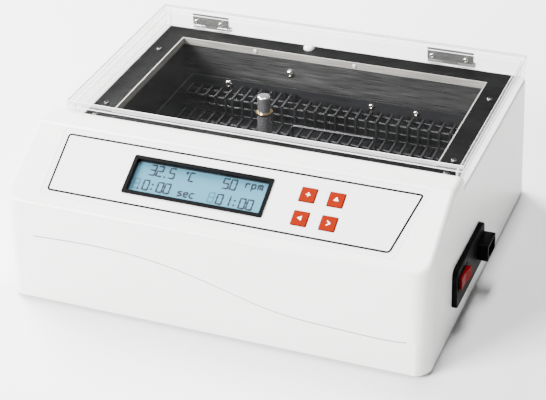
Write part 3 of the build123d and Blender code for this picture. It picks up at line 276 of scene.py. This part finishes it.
# The camera: the point looked at, its sensor in millimetres, its nearest and farthest sight in metres
LOOKED_AT = Vector((9.518, -45.24, 68.086)) * MM
SENSOR_WIDTH = 36.0
NEAREST = 0.05
FARTHEST = 50.0


class HeaterColours(bpy.types.PropertyGroup):
    """Colours that a user would change."""

    shell: FloatVectorProperty(
        name="Shell", description="Moulded white of the housing", default=(0.80, 0.80, 0.78),
        min=0.0, max=1.0, subtype="COLOR",
    )
    label: FloatVectorProperty(
        name="Label", description="Printed film on the slope", default=(0.72, 0.72, 0.71),
        min=0.0, max=1.0, subtype="COLOR",
    )
    display: FloatVectorProperty(
        name="Display", description="Lit ground of the display", default=(0.028, 0.14, 0.20),
        min=0.0, max=1.0, subtype="COLOR",
    )
    read_out: FloatVectorProperty(
        name="Read-out", description="Dark bars of the read-out", default=(0.001, 0.004, 0.012),
        min=0.0, max=1.0, subtype="COLOR",
    )
    keys: FloatVectorProperty(
        name="Keys", description="Orange-red of the keys", default=(0.16, 0.008, 0.0004),
        min=0.0, max=1.0, subtype="COLOR",
    )
    rocker: FloatVectorProperty(
        name="Rocker", description="Red of the power switch", default=(0.13, 0.0012, 0.002),
        min=0.0, max=1.0, subtype="COLOR",
    )
    chamber: FloatVectorProperty(
        name="Chamber", description="Brushed steel of the chamber", default=(0.24, 0.24, 0.24),
        min=0.0, max=1.0, subtype="COLOR",
    )
    bright_steel: FloatVectorProperty(
        name="Bright steel", description="Rim, hinges and screws", default=(0.72, 0.69, 0.64),
        min=0.0, max=1.0, subtype="COLOR",
    )
    rack: FloatVectorProperty(
        name="Rack", description="Satin black of the tray and racks", default=(0.005, 0.005, 0.006),
        min=0.0, max=1.0, subtype="COLOR",
    )
    floor: FloatVectorProperty(
        name="Floor", description="Pale floor", default=(0.80, 0.80, 0.80),
        min=0.0, max=1.0, subtype="COLOR",
    )


class HeaterSizes(bpy.types.PropertyGroup):
    """Sizes and places that a user would change."""

    line_width: FloatProperty(
        name="Line width", description="Width of the label's black line",
        default=1.7 * MM, min=0.1 * MM, max=3 * MM, subtype="DISTANCE", unit="LENGTH",
    )
    bar_width: FloatProperty(
        name="Bar width", description="Width of the read-out's bars",
        default=1.45 * MM, min=0.2 * MM, max=2 * MM, subtype="DISTANCE", unit="LENGTH",
    )
    print_thickness: FloatProperty(
        name="Print thickness", description="Thickness of printed lines and marks",
        default=0.04 * MM, min=0.01 * MM, max=0.2 * MM, subtype="DISTANCE", unit="LENGTH",
    )
    camera_turn: FloatProperty(
        name="Camera turn", description="Camera's turn round the heater",
        default=math.radians(22.566), subtype="ANGLE", unit="ROTATION",
    )
    camera_rise: FloatProperty(
        name="Camera rise", description="Camera's angle above the table",
        default=math.radians(31.72), subtype="ANGLE", unit="ROTATION",
    )
    camera_roll: FloatProperty(
        name="Camera roll", description="Camera's roll about its own line of sight",
        default=-0.03684, subtype="ANGLE", unit="ROTATION",
    )
    camera_distance: FloatProperty(
        name="Camera distance", description="From the point looked at to the camera",
        default=1.300376, min=0.5, max=5.0, subtype="DISTANCE", unit="LENGTH",
    )
    lens: FloatProperty(
        name="Lens", description="Focal length of the camera",
        default=110.89, min=20.0, max=300.0, subtype="DISTANCE_CAMERA", unit="CAMERA",
    )


def noise_on(tree, scale, stretch=(1.0, 1.0, 1.0), detail=3.0):
    """Noise on object coordinates, stretched as the surface was worked."""
    place = tree.nodes.new("ShaderNodeTexCoord")
    turn = tree.nodes.new("ShaderNodeMapping")
    turn.inputs["Scale"].default_value = stretch
    noise = tree.nodes.new("ShaderNodeTexNoise")
    noise.inputs["Scale"].default_value = scale
    noise.inputs["Detail"].default_value = detail
    tree.links.new(place.outputs["Object"], turn.inputs["Vector"])
    tree.links.new(turn.outputs["Vector"], noise.inputs["Vector"])
    return noise.outputs["Fac"]


def spread(tree, source, low, high, start=NOISE_LOW, end=NOISE_HIGH):
    """A value's range from start to end, spread from low to high."""
    ramp = tree.nodes.new("ShaderNodeMapRange")
    ramp.inputs["From Min"].default_value = start
    ramp.inputs["From Max"].default_value = end
    ramp.inputs["To Min"].default_value = low
    ramp.inputs["To Max"].default_value = high
    tree.links.new(source, ramp.inputs["Value"])
    return ramp.outputs["Result"]


def above(tree, height, low, high):
    """One value below a height of the object, another above it."""
    place = tree.nodes.new("ShaderNodeTexCoord")
    parts = tree.nodes.new("ShaderNodeSeparateXYZ")
    tree.links.new(place.outputs["Object"], parts.inputs["Vector"])
    return spread(tree, parts.outputs["Z"], low, high, height - HEIGHT_BLUR, height + HEIGHT_BLUR)


def joined(tree, operation, first, second):
    """Two values added or multiplied."""
    join = tree.nodes.new("ShaderNodeMath")
    join.operation = operation
    tree.links.new(first, join.inputs[0])
    tree.links.new(second, join.inputs[1])
    return join.outputs["Value"]


def shaded(colour, amount):
    """A colour made lighter or darker."""
    return tuple(min(1.0, part * amount) for part in colour[:3]) + (1.0,)


def tinted(tree, colour, play, factor):
    """A colour that plays between a darker and a lighter shade."""
    tint = tree.nodes.new("ShaderNodeMix")
    tint.data_type = "RGBA"
    tint.inputs["A"].default_value = shaded(colour, 1.0 - play)
    tint.inputs["B"].default_value = shaded(colour, 1.0 + play)
    tree.links.new(factor, tint.inputs["Factor"])
    return tint.outputs["Result"]


def dimmed(tree, colour, amount):
    """A colour multiplied by a value."""
    shade = tree.nodes.new("ShaderNodeMix")
    shade.data_type = "RGBA"
    shade.blend_type = "MULTIPLY"
    shade.inputs["Factor"].default_value = 1.0
    tree.links.new(colour, shade.inputs["A"])
    tree.links.new(amount, shade.inputs["B"])
    return shade.outputs["Result"]


def relief(tree, shader, height, strength, depth):
    """Bump from a noise, its depth in millimetres."""
    bump = tree.nodes.new("ShaderNodeBump")
    bump.inputs["Strength"].default_value = strength
    bump.inputs["Distance"].default_value = depth * MM
    tree.links.new(height, bump.inputs["Height"])
    tree.links.new(bump.outputs["Normal"], shader.inputs["Normal"])


def blank(name):
    """A new material, its node tree and its shader."""
    made = bpy.data.materials.new(name)
    made.use_nodes = True
    return made, made.node_tree, made.node_tree.nodes["Principled BSDF"]


def set_socket(material, socket, value):
    """Set one plain socket of a material's shader."""
    material.node_tree.nodes["Principled BSDF"].inputs[socket].default_value = value


def finish(name, colour, rough, metal=0.0, patch=(30.0, 0.04), grain=(900.0, 0.05),
           rough_play=0.06, coat=0.0, depth=0.02, shine=0.5):
    """A worked surface: slow patches of shade, fine grain in its roughness and height.

    patch is the patches' scale and play of shade, grain the grain's scale and strength,
    and depth the grain's depth in millimetres.
    """
    made, tree, shader = blank(name)
    shader.inputs["Metallic"].default_value = metal
    shader.inputs["Specular IOR Level"].default_value = shine
    shader.inputs["Coat Weight"].default_value = coat
    shader.inputs["Coat Roughness"].default_value = COAT_ROUGH
    slow = spread(tree, noise_on(tree, patch[0]), 0.0, 1.0)
    tree.links.new(tinted(tree, colour, patch[1], slow), shader.inputs["Base Color"])
    fine = noise_on(tree, grain[0], detail=GRAIN_DETAIL)
    rough_out = spread(tree, fine, max(LEAST_ROUGH, rough - rough_play), rough + rough_play)
    tree.links.new(rough_out, shader.inputs["Roughness"])
    relief(tree, shader, fine, grain[1], depth)
    return made


def brushed(name, colour, rough, streak=0.22, top=None):
    """Brushed metal: long fine streaks of shade, roughness and height.

    top is a height and the share of the colour that is left above it, which paints shade there.
    """
    made, tree, shader = blank(name)
    shader.inputs["Metallic"].default_value = 1.0
    lines = noise_on(tree, STREAK_SCALE, STREAK_STRETCH, STREAK_DETAIL)
    clouds = spread(tree, noise_on(tree, CLOUD_SCALE), -CLOUD_PLAY, CLOUD_PLAY)
    factor = spread(tree, joined(tree, "ADD", lines, clouds), 0.0, 1.0)
    shade = tinted(tree, colour, streak, factor)
    if top:
        shade = dimmed(tree, shade, above(tree, top[0], 1.0, top[1]))
    tree.links.new(shade, shader.inputs["Base Color"])
    rough_out = spread(tree, lines, rough - STREAK_SMOOTHER, rough + STREAK_ROUGHER)
    tree.links.new(rough_out, shader.inputs["Roughness"])
    relief(tree, shader, lines, STREAK_RELIEF, STREAK_DEPTH)
    return made


def clear_sheet(name, colour, rough, solid, wiped, foot=None):
    """Clear acrylic or glass: solid is how much of it shows, wiped is how much its marks add.

    foot is a height and the share of the solid that is left below it.
    """
    made, tree, shader = blank(name)
    shader.inputs["Base Color"].default_value = tuple(colour) + (1.0,)
    wipe = noise_on(tree, WIPE_SCALE, WIPE_STRETCH, WIPE_DETAIL)
    shown = spread(tree, wipe, solid, solid + wiped)
    if foot:
        shown = joined(tree, "MULTIPLY", shown, above(tree, foot[0], foot[1], 1.0))
    tree.links.new(shown, shader.inputs["Alpha"])
    tree.links.new(spread(tree, wipe, rough, rough + WIPE_ROUGHER), shader.inputs["Roughness"])
    relief(tree, shader, wipe, WIPE_RELIEF, WIPE_DEPTH)
    return made


def bright_screw(steel):
    """The bright screws' finish, made once for all of them."""
    known = bpy.data.materials.get("screw_bright")
    return known or finish("screw_bright", steel, 0.18, 1.0, grain=(1800.0, 0.2))


def dress(material, *names):
    """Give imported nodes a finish."""
    for name in names:
        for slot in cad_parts[name].material_slots:
            slot.material = material


def slope_place(x, up, height=0.0):
    """What turns a flat drawing onto the slope, at a place given in millimetres."""
    turn = Matrix.Rotation(SLOPE_ANGLE, 4, "X")
    return Matrix.Translation(SLOPE_FOOT) @ turn @ Matrix.Translation(Vector((x, up, height)) * MM)


def piece_from(name, bm, material, body, smooth=None):
    """Make a piece of a bmesh, riding on a body; smooth is its shading's sharpest angle."""
    bmesh.ops.recalc_face_normals(bm, faces=bm.faces[:])
    mesh = bpy.data.meshes.new(name)
    bm.to_mesh(mesh)
    bm.free()
    mesh.materials.append(material)
    piece = bpy.data.objects.new(name, mesh)
    bpy.context.scene.collection.objects.link(piece)
    if smooth is not None:
        mesh.shade_smooth()
        mesh.set_sharp_from_angle(angle=math.radians(smooth))
    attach(piece, body)
    return piece


def parts_of(geom, kind):
    """The parts of one kind in an operator's result."""
    return [part for part in geom if isinstance(part, kind)]


def edges_of(verts):
    """The edges that meet some vertices."""
    return list({edge for vert in verts for edge in vert.link_edges})


def thicken(bm, height):
    """Give flat faces a thickness along +Z."""
    out = bmesh.ops.extrude_face_region(bm, geom=bm.faces[:], use_keep_orig=True)["geom"]
    bmesh.ops.translate(bm, verts=parts_of(out, bmesh.types.BMVert), vec=(0, 0, height))


def add_bar(bm, start, end, width):
    """One bar of a digit or letter: a long hexagon from start to end."""
    start, end = Vector(start), Vector(end)
    along = end - start
    reach = width / math.sqrt(3)
    verts = bmesh.ops.create_circle(bm, cap_ends=True, segments=6, radius=reach)["verts"]
    shift = max(0.0, along.length / 2 - reach * BAR_END)
    for vert in verts:
        vert.co.x += math.copysign(shift, vert.co.x)
    turn = Matrix.Rotation(math.atan2(along.y, along.x), 4, "Z")
    place = Matrix.Translation((start + end).to_3d() / 2) @ turn
    bmesh.ops.transform(bm, matrix=place, verts=verts)


def add_dot(bm, x, y, bar):
    """One dot of a point or a colon."""
    add_bar(bm, (x - DOT_BACK, y), (x + DOT_ON, y), bar * DOT_WIDTH)


def add_word(bm, text, x, y, width, height, pitch, bar):
    """One word of the read-out, from its bars."""
    for index, letter in enumerate(text):
        left = x + index * pitch
        if letter in DOTS:
            for share in DOTS[letter]:
                add_dot(bm, left, y + share * height, bar)
            continue
        bars = LETTERS.get(letter) or [DIGIT_BARS[key] for key in DIGITS[letter]]
        for first, last in bars:
            start = (left + first[0] * width, y + first[1] * height)
            end = (left + last[0] * width, y + last[1] * height)
            add_bar(bm, start, end, bar if width > SMALL_CELL else bar * SMALL_BAR)


def read_out_piece(name, words, material, bar, lift):
    """Words of the read-out as one piece on the display's cell."""
    bm = bmesh.new()
    for word in words:
        add_word(bm, *word, bar)
    thicken(bm, bpy.context.scene.heater_sizes.print_thickness / MM)
    place = slope_place(*READ_OUT_CORNER, CELL_FACE + lift) @ Matrix.Scale(MM, 4)
    bmesh.ops.transform(bm, matrix=place, verts=bm.verts[:])
    piece_from(name, bm, material, "base")


def add_button_screw(bm, place, radius, height, shank, turn):
    """A domed screw with a six-sided socket; place turns +Z to where its head faces."""
    verts = bmesh.ops.create_circle(bm, cap_ends=True, segments=SCREW_SIDES,
                                    radius=radius * SHANK_SHARE)["verts"]
    start = verts[:]
    for vert in verts:
        vert.co.z = -shank
    edges = edges_of(verts)
    rings = [(share, up, False) for share, up in HEAD_ROWS]
    rings += [(share, up, True) for share, up in SOCKET_ROWS]
    for share, up, six in rings:
        out = bmesh.ops.extrude_edge_only(bm, edges=edges)["geom"]
        verts = parts_of(out, bmesh.types.BMVert)
        edges = [edge for edge in parts_of(out, bmesh.types.BMEdge) if edge.is_boundary]
        for vert in verts:
            angle = math.atan2(vert.co.y, vert.co.x)
            reach = radius * share
            if six:
                corner = (angle - turn) % (math.pi / 3) - math.pi / 6
                reach *= math.cos(math.pi / 6) / math.cos(corner)
            vert.co = (reach * math.cos(angle), reach * math.sin(angle), height * up)
        start += verts
    bmesh.ops.edgeloop_fill(bm, edges=edges)
    bmesh.ops.transform(bm, matrix=place, verts=start)


def facing(direction, point):
    """A place whose +Z looks along a direction."""
    turn = Vector(direction).to_track_quat("Z", "Y").to_matrix().to_4x4()
    return Matrix.Translation(point) @ turn


def screws_piece(node, material):
    """Screws with sockets in place of a node's plain ones."""
    body, way, shank, screws = SCREWS[node]
    bm = bmesh.new()
    for index, (point, radius, height) in enumerate(screws):
        place = facing(way, Vector(point) * MM)
        add_button_screw(bm, place, radius * MM, height * MM, shank * MM, SOCKET_TURN + index)
    piece = piece_from(node + "_socketed", bm, material, body, SMOOTH_ANGLE)
    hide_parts(node)


def add_panel(bm, low, high, broad):
    """One sheet of the lid, its edges polished and their rounded lines given the painted glint; broad is
    its large faces' material.
    """
    size = Vector(high) - Vector(low)
    known = set(bm.faces)
    verts = bmesh.ops.create_cube(bm, size=1.0)["verts"]
    place = Matrix.Translation((Vector(low) + Vector(high)) / 2) @ Matrix.Diagonal(size.to_4d())
    bmesh.ops.transform(bm, matrix=place, verts=verts)
    bmesh.ops.bevel(bm, geom=edges_of(verts), offset=LID_POLISH, affect="EDGES", segments=2,
                    profile=0.5, material=-1)
    thin = min(range(3), key=lambda axis: size[axis])
    for face in bm.faces:
        if face in known:
            continue
        face.normal_update()
        face.material_index = EDGE_FACES
        if abs(face.normal[thin]) > SQUARE:
            face.material_index = broad
        elif max(abs(part) for part in face.normal) < SQUARE:
            face.material_index = PAINTED_GLINT_LINES


def wave_corner(out):
    """The corner under the front's wave step, from left to right."""
    points = []
    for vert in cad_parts["housing"].data.vertices:
        on_face = abs((vert.co - WAVE_FOOT).dot(out)) < WAVE_REACH
        if on_face and vert.co.z > WAVE_LEAST_Z and abs(vert.co.x - HOUSING_X) < WAVE_HALF:
            points.append(vert.co.copy())
    points.sort(key=lambda point: point.x)
    kept = points[:1]
    for point in points[1:]:
        if point.x - kept[-1].x > WAVE_STEP:
            kept.append(point)
    if len(kept) < WAVE_POINTS:
        raise RuntimeError("the wave step was not found on the housing")
    return kept


def add_wave_shadow_wedge(bm):
    """A thin three-sided grey wedge in the corner under the wave step: a painted shadow of the step."""
    out = Vector((0, -math.cos(FRONT_LEAN), math.sin(FRONT_LEAN)))
    down = Vector((0, -math.sin(FRONT_LEAN), -math.cos(FRONT_LEAN)))
    corners = wave_corner(out)
    ends = (corners[0], corners[0] + out * WAVE_SHADOW_WEDGE[0], corners[0] + down * WAVE_SHADOW_WEDGE[1])
    face = bm.faces.new([bm.verts.new(end) for end in ends])
    for before, after in zip(corners, corners[1:]):
        grown = bmesh.ops.extrude_face_region(bm, geom=[face] + face.edges[:])["geom"]
        face = parts_of(grown, bmesh.types.BMFace)[0]
        bmesh.ops.translate(bm, verts=parts_of(grown, bmesh.types.BMVert), vec=after - before)


def key_mark(bm, node):
    """The mark on one key, millimetres about the key's middle: bars, or a triangle."""
    for start, end, width in MARK_BARS.get(node, ()):
        add_bar(bm, start, end, width)
    if node in TRIANGLE_TURNS:
        verts = bmesh.ops.create_circle(bm, cap_ends=True, segments=3, radius=TRIANGLE_REACH)["verts"]
        turn = Matrix.Rotation(math.radians(TRIANGLE_TURNS[node]), 4, "Z")
        bmesh.ops.transform(bm, matrix=turn, verts=verts)


def area_light(name, place, target, size, power):
    """A soft studio light that looks at a point."""
    data = bpy.data.lights.new(name, "AREA")
    data.shape = "RECTANGLE"
    data.size, data.size_y = size
    data.energy = power
    light = bpy.data.objects.new(name, data)
    light.location = place
    light.rotation_mode = "QUATERNION"
    light.rotation_quaternion = (Vector(target) - Vector(place)).to_track_quat("-Z", "Y")
    bpy.context.scene.collection.objects.link(light)


class HEATER_OT_shell(bpy.types.Operator):
    """Finish the moulded housing, its cover, its feet and the lid's bumper."""

    bl_idname = "heater.shell"
    bl_label = "Shell"

    def execute(self, context):
        colours = context.scene.heater_colours
        shell = finish("shell_white", colours.shell, 0.36, patch=(9.0, 0.015), grain=(1400.0, 0.25),
                       rough_play=0.05, coat=0.25, depth=0.03)
        dress(shell, "housing")
        # A grey wedge under the wave step: painted shadow of the step
        grey = finish("painted_shadow_grey", shaded(colours.shell, 0.3), 0.6, patch=(40.0, 0.1), grain=(1400.0, 0.2))
        bm = bmesh.new()
        add_wave_shadow_wedge(bm)
        piece_from("wave_shadow_wedge", bm, grey, "base")
        dress(finish("cover_powder_coat", (0.55, 0.56, 0.55), 0.55, grain=(2200.0, 0.5), depth=0.05),
              "bottom_cover")
        dress(finish("foot_rubber_black", (0.02, 0.02, 0.02), 0.8, grain=(700.0, 0.4), depth=0.05),
              "rubber_feet")
        dress(finish("bumper_white", (0.75, 0.75, 0.74), 0.3, grain=(500.0, 0.1)), "lid_bumper")
        return {"FINISHED"}


class HEATER_OT_lid(bpy.types.Operator):
    """Finish the clear lid."""

    bl_idname = "heater.lid"
    bl_label = "Clear lid"

    def execute(self, context):
        tint = (0.5, 0.51, 0.505)
        top = clear_sheet("acrylic_top", tint, 0.05, 0.0015, 0.004)
        wall = clear_sheet("acrylic_wall", tint, 0.1, 0.10, 0.08)
        edge = clear_sheet("acrylic_edge", tint, 0.2, 0.5, 0.2, foot=LID_EDGE_FOOT)
        # The rounded edge lines, lighter and near opaque: a painted glint along the polished edges
        line = clear_sheet("acrylic_painted_glint", shaded(tint, 1.8)[:3], 0.2, 0.85, 0.1)
        low, high = LID_LOW, LID_HIGH
        under = high.z - LID_SHEET
        bm = bmesh.new()
        add_panel(bm, (low.x, low.y, under), high, TOP_FACES)
        roof = under - LID_SEAM
        for x0, x1 in ((low.x, low.x + LID_SHEET), (high.x - LID_SHEET, high.x)):
            add_panel(bm, (x0, low.y, low.z), (x1, high.y, roof), WALL_FACES)
        x0, x1 = low.x + LID_SHEET + LID_SEAM, high.x - LID_SHEET - LID_SEAM
        add_panel(bm, (x0, low.y, low.z), (x1, low.y + LID_SHEET, roof), TOP_FACES)
        add_panel(bm, (x0, high.y - LID_SHEET, low.z), (x1, high.y, roof), WALL_FACES)
        lid = piece_from("lid_panels", bm, top, "lid")
        for other in (wall, edge, line):
            lid.data.materials.append(other)
        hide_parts("lid_shell")
        return {"FINISHED"}


class HEATER_OT_hinges(bpy.types.Operator):
    """Finish the hinges and give their screws sockets."""

    bl_idname = "heater.hinges"
    bl_label = "Hinges"

    def execute(self, context):
        steel = context.scene.heater_colours.bright_steel
        leaf = brushed("hinge_polished", shaded(steel, 0.3), 0.16, streak=0.12)
        dress(leaf, "moving_leaf_left", "moving_leaf_right", "fixed_leaf_left", "fixed_leaf_right",
              "hinge_pin_left", "hinge_pin_right")
        screws_piece("lid_hinge_screws", bright_screw(steel))
        screws_piece("housing_hinge_screws", bright_screw(steel))
        return {"FINISHED"}


class HEATER_OT_chamber(bpy.types.Operator):
    """Finish the steel chamber, its bright rim and its screws."""

    bl_idname = "heater.chamber"
    bl_label = "Chamber"

    def execute(self, context):
        colours = context.scene.heater_colours
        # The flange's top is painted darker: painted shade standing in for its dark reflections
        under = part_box("chamber")[1].z - FLANGE_THICKNESS
        steel = brushed("chamber_brushed", colours.chamber, 0.34, top=(under, FLANGE_PAINTED_SHADE))
        set_socket(steel, "Specular Tint", (0.5, 0.5, 0.5, 1.0))
        dress(steel, "chamber")
        dress(brushed("bracket_brushed", colours.chamber, 0.34), "motor_bracket")
        rim = brushed("rim_bright", shaded(colours.bright_steel, 0.6), 0.42, streak=0.25)
        set_socket(rim, "Metallic", 0.6)
        dress(rim, "chamber_rim")
        dress(finish("screw_satin", colours.bright_steel, 0.3, 0.4), "rim_screws", "bottom_screws")
        dull = finish("screw_dull", (0.10, 0.10, 0.10), 0.35, 1.0, grain=(1800.0, 0.2))
        screws_piece("flange_screws", dull)
        screws_piece("wall_screws", bright_screw(colours.bright_steel))
        dress(finish("sensor_case", (0.5, 0.5, 0.5), 0.35, 1.0), "temperature_sensor")
        return {"FINISHED"}


class HEATER_OT_tray(bpy.types.Operator):
    """Finish the card tray with its racks, bail and post."""

    bl_idname = "heater.tray"
    bl_label = "Card tray"

    def execute(self, context):
        colours = context.scene.heater_colours
        satin = finish("rack_satin_black", colours.rack, 0.6, grain=(900.0, 0.3), depth=0.03, shine=0.2)
        dress(satin, "card_tray", "rack_left", "rack_tall", "rack_right")
        dress(finish("rod_worn", (0.03, 0.03, 0.032), 0.4, 1.0, grain=(700.0, 0.3)), "rack_rods")
        dress(finish("bail_wire", (0.07, 0.07, 0.075), 0.35, 1.0), "rack_bail")
        screws_piece("tray_screws", bright_screw(colours.bright_steel))
        dress(finish("post_polished", (0.76, 0.76, 0.78), 0.2, 0.94, grain=(300.0, 0.05), rough_play=0.04),
              "centre_post")
        dress(finish("collar_gold", (0.62, 0.45, 0.22), 0.2, 1.0), "post_collar")
        return {"FINISHED"}


class HEATER_OT_drive(bpy.types.Operator):
    """Finish the shaker drive under the tray."""

    bl_idname = "heater.drive"
    bl_label = "Shaker drive"

    def execute(self, context):
        turned = finish("turned_steel", (0.5, 0.5, 0.5), 0.28, 1.0, grain=(700.0, 0.3))
        dress(turned, "drive_crank", "motor_shaft", "idler_crank_left", "idler_crank_right")
        dress(finish("bush_brass_turned", (0.55, 0.36, 0.12), 0.3, 1.0), "shaft_bush", "idler_bush_left",
              "idler_bush_right")
        dress(finish("motor_case_black", (0.02, 0.02, 0.022), 0.4, coat=0.3), "shaker_motor")
        return {"FINISHED"}


class HEATER_OT_label(bpy.types.Operator):
    """Finish the label and draw the black line round it."""

    bl_idname = "heater.label"
    bl_label = "Front label"

    def execute(self, context):
        colours, sizes = context.scene.heater_colours, context.scene.heater_sizes
        dress(finish("label_film_pale", colours.label, 0.42, patch=(12.0, 0.01), grain=(2600.0, 0.2),
                     coat=0.15, depth=0.02), "front_label")
        bm = bmesh.new()
        corners = [bm.verts.new((x * MM, up * MM, 0)) for x, up in LINE_CORNERS]
        bm.faces.new(corners)
        bmesh.ops.bevel(bm, geom=corners, offset=LINE_ROUNDING, affect="VERTICES", segments=6,
                        profile=0.5, material=-1)
        border = bmesh.ops.inset_region(bm, faces=bm.faces[:], thickness=sizes.line_width,
                                        use_boundary=True, use_even_offset=True)["faces"]
        middle = [face for face in bm.faces if face not in border]
        bmesh.ops.delete(bm, geom=middle, context="FACES")
        thicken(bm, sizes.print_thickness)
        bmesh.ops.transform(bm, matrix=slope_place(0, 0, LABEL_FACE), verts=bm.verts[:])
        ink = finish("line_ink", (0.004, 0.004, 0.005), 0.6, grain=(2600.0, 0.1), shine=0.05)
        piece_from("label_line", bm, ink, "base")
        return {"FINISHED"}


class HEATER_OT_display(bpy.types.Operator):
    """Finish the display and set its read-out."""

    bl_idname = "heater.display"
    bl_label = "Display"

    def execute(self, context):
        colours, sizes = context.scene.heater_colours, context.scene.heater_sizes
        dress(finish("bezel_satin_black", (0.001, 0.001, 0.0012), 0.35, grain=(1500.0, 0.08), shine=0.06),
              "display_bezel")
        dress(clear_sheet("window_glass", (0.9, 0.95, 1.0), 0.05, 0.02, 0.01), "display_window")
        cell = finish("display_cell", colours.display, 0.5, patch=(16.0, 0.05), grain=(2500.0, 0.05),
                      shine=0.1)
        set_socket(cell, "Emission Color", shaded(colours.display, 1.0))
        set_socket(cell, "Emission Strength", CELL_GLOW)
        dress(cell, "display_module")
        dark = finish("read_out_dark", colours.read_out, 0.6, grain=(2500.0, 0.05), shine=0.03)
        faint = finish("read_out_faint", shaded(colours.display, 0.6), 0.6, grain=(2500.0, 0.05),
                       shine=0.03)
        bar = sizes.bar_width / MM
        read_out_piece("read_out", WORDS, dark, bar, READ_OUT_LIFT)
        read_out_piece("read_out_unlit", FAINT_WORDS, faint, bar * UNLIT_BAR, UNLIT_LIFT)
        return {"FINISHED"}


class HEATER_OT_keys(bpy.types.Operator):
    """Finish the keys and print their marks."""

    bl_idname = "heater.keys"
    bl_label = "Keys"

    def execute(self, context):
        colours, sizes = context.scene.heater_colours, context.scene.heater_sizes
        cap = finish("key_cap_orange", colours.keys, 0.4, patch=(120.0, 0.05), grain=(1500.0, 0.15),
                     shine=0.02)
        white = finish("mark_white", (0.82, 0.82, 0.80), 0.45, grain=(2500.0, 0.05))
        for body, node, x, up in KEYS:
            dress(cap, node)
            bm = bmesh.new()
            key_mark(bm, node)
            thicken(bm, sizes.print_thickness / MM)
            place = slope_place(x, up, KEY_FACE - MARK_SUNK) @ Matrix.Scale(MM, 4)
            bmesh.ops.transform(bm, matrix=place, verts=bm.verts[:])
            piece_from(node + "_mark", bm, white, body)
        return {"FINISHED"}


class HEATER_OT_power(bpy.types.Operator):
    """Finish the power plate, the rocker switch and the inlet."""

    bl_idname = "heater.power"
    bl_label = "Power side"

    def execute(self, context):
        colours = context.scene.heater_colours
        dress(finish("plate_satin_black", (0.003, 0.003, 0.003), 0.45, grain=(1600.0, 0.2), shine=0.02),
              "power_plate")
        dress(finish("switch_fine_black", (0.0015, 0.0015, 0.0016), 0.45, grain=(1800.0, 0.2), shine=0.03),
              "switch_frame", "mains_inlet", "key_switches", "thermal_cutout")
        dress(finish("rocker_cap_red", colours.rocker, 0.35, patch=(200.0, 0.06), grain=(900.0, 0.02),
                     shine=0.02), "power_rocker")
        dress(finish("pin_plated", (0.62, 0.58, 0.46), 0.25, 1.0), "inlet_pins")
        return {"FINISHED"}


class HEATER_OT_inside(bpy.types.Operator):
    """Finish the boards, the heater mat and the insulation."""

    bl_idname = "heater.inside"
    bl_label = "Inside pieces"

    def execute(self, context):
        dress(finish("board_green_coated", (0.01, 0.09, 0.03), 0.35, patch=(80.0, 0.2)), "control_board",
              "supply_board")
        dress(finish("mat_silicone", (0.45, 0.08, 0.02), 0.6, grain=(600.0, 0.4), depth=0.1), "heater_mat")
        dress(finish("insulation_felt", (0.6, 0.58, 0.5), 0.9, grain=(500.0, 0.8), depth=0.4), "insulation")
        return {"FINISHED"}


class HEATER_OT_stage(bpy.types.Operator):
    """Lay the floor, light it softly and set the camera."""

    bl_idname = "heater.stage"
    bl_label = "Stage"

    def execute(self, context):
        scene = context.scene
        colours, sizes = scene.heater_colours, scene.heater_sizes
        bm = bmesh.new()
        bmesh.ops.create_grid(bm, x_segments=1, y_segments=1, size=FLOOR_HALF)
        mesh = bpy.data.meshes.new("floor")
        bm.to_mesh(mesh)
        bm.free()
        floor = bpy.data.objects.new("floor", mesh)
        scene.collection.objects.link(floor)
        pale = finish("floor_pale", colours.floor, 0.6, patch=(1.5, 0.01), grain=(200.0, 0.02))
        mesh.materials.append(pale)
        world = bpy.data.worlds.new("studio")
        world.use_nodes = True
        sky = world.node_tree.nodes["Background"]
        sky.inputs["Color"].default_value = (1.0, 1.0, 1.0, 1.0)
        sky.inputs["Strength"].default_value = SKY_STRENGTH
        scene.world = world
        for light in LIGHTS:
            area_light(*light)
        turn, rise = sizes.camera_turn, sizes.camera_rise
        back = Vector((math.sin(turn) * math.cos(rise), -math.cos(turn) * math.cos(rise), math.sin(rise)))
        data = bpy.data.cameras.new("view")
        data.lens = sizes.lens
        data.sensor_width = SENSOR_WIDTH
        data.clip_start, data.clip_end = NEAREST, FARTHEST
        camera = bpy.data.objects.new("view", data)
        camera.rotation_mode = "QUATERNION"
        camera.location = LOOKED_AT + back * sizes.camera_distance
        look = (-back).to_track_quat("-Z", "Y")
        spin = Matrix.Rotation(sizes.camera_roll, 4, "Z").to_quaternion()
        camera.rotation_quaternion = look @ spin
        scene.collection.objects.link(camera)
        scene.camera = camera
        return {"FINISHED"}


class HEATER_PT_pieces(bpy.types.Panel):
    """Colours, sizes and steps of the heater."""

    bl_idname = "HEATER_PT_pieces"
    bl_label = "Gel card heater"
    bl_space_type = "VIEW_3D"
    bl_region_type = "UI"
    bl_category = "Heater"

    def draw(self, context):
        layout = self.layout
        for group in (context.scene.heater_colours, context.scene.heater_sizes):
            box = layout.box()
            for name in group.__annotations__:
                box.prop(group, name)
        for step in STEPS:
            layout.operator(step.bl_idname)


STEPS = (
    HEATER_OT_stage,
    HEATER_OT_shell,
    HEATER_OT_lid,
    HEATER_OT_hinges,
    HEATER_OT_chamber,
    HEATER_OT_tray,
    HEATER_OT_drive,
    HEATER_OT_label,
    HEATER_OT_display,
    HEATER_OT_keys,
    HEATER_OT_power,
    HEATER_OT_inside,
)
CLASSES = (HeaterColours, HeaterSizes) + STEPS + (HEATER_PT_pieces,)


def register():
    """Register the groups, steps and panel."""
    for item in CLASSES:
        bpy.utils.register_class(item)
    bpy.types.Scene.heater_colours = PointerProperty(type=HeaterColours)
    bpy.types.Scene.heater_sizes = PointerProperty(type=HeaterSizes)


def unregister():
    """Take them out again."""
    del bpy.types.Scene.heater_sizes
    del bpy.types.Scene.heater_colours
    for item in reversed(CLASSES):
        bpy.utils.unregister_class(item)


def main():
    """Build every piece in order."""
    register()
    for step in STEPS:
        group, name = step.bl_idname.split(".")
        getattr(getattr(bpy.ops, group), name)()


if __name__ == "__main__":
    main()
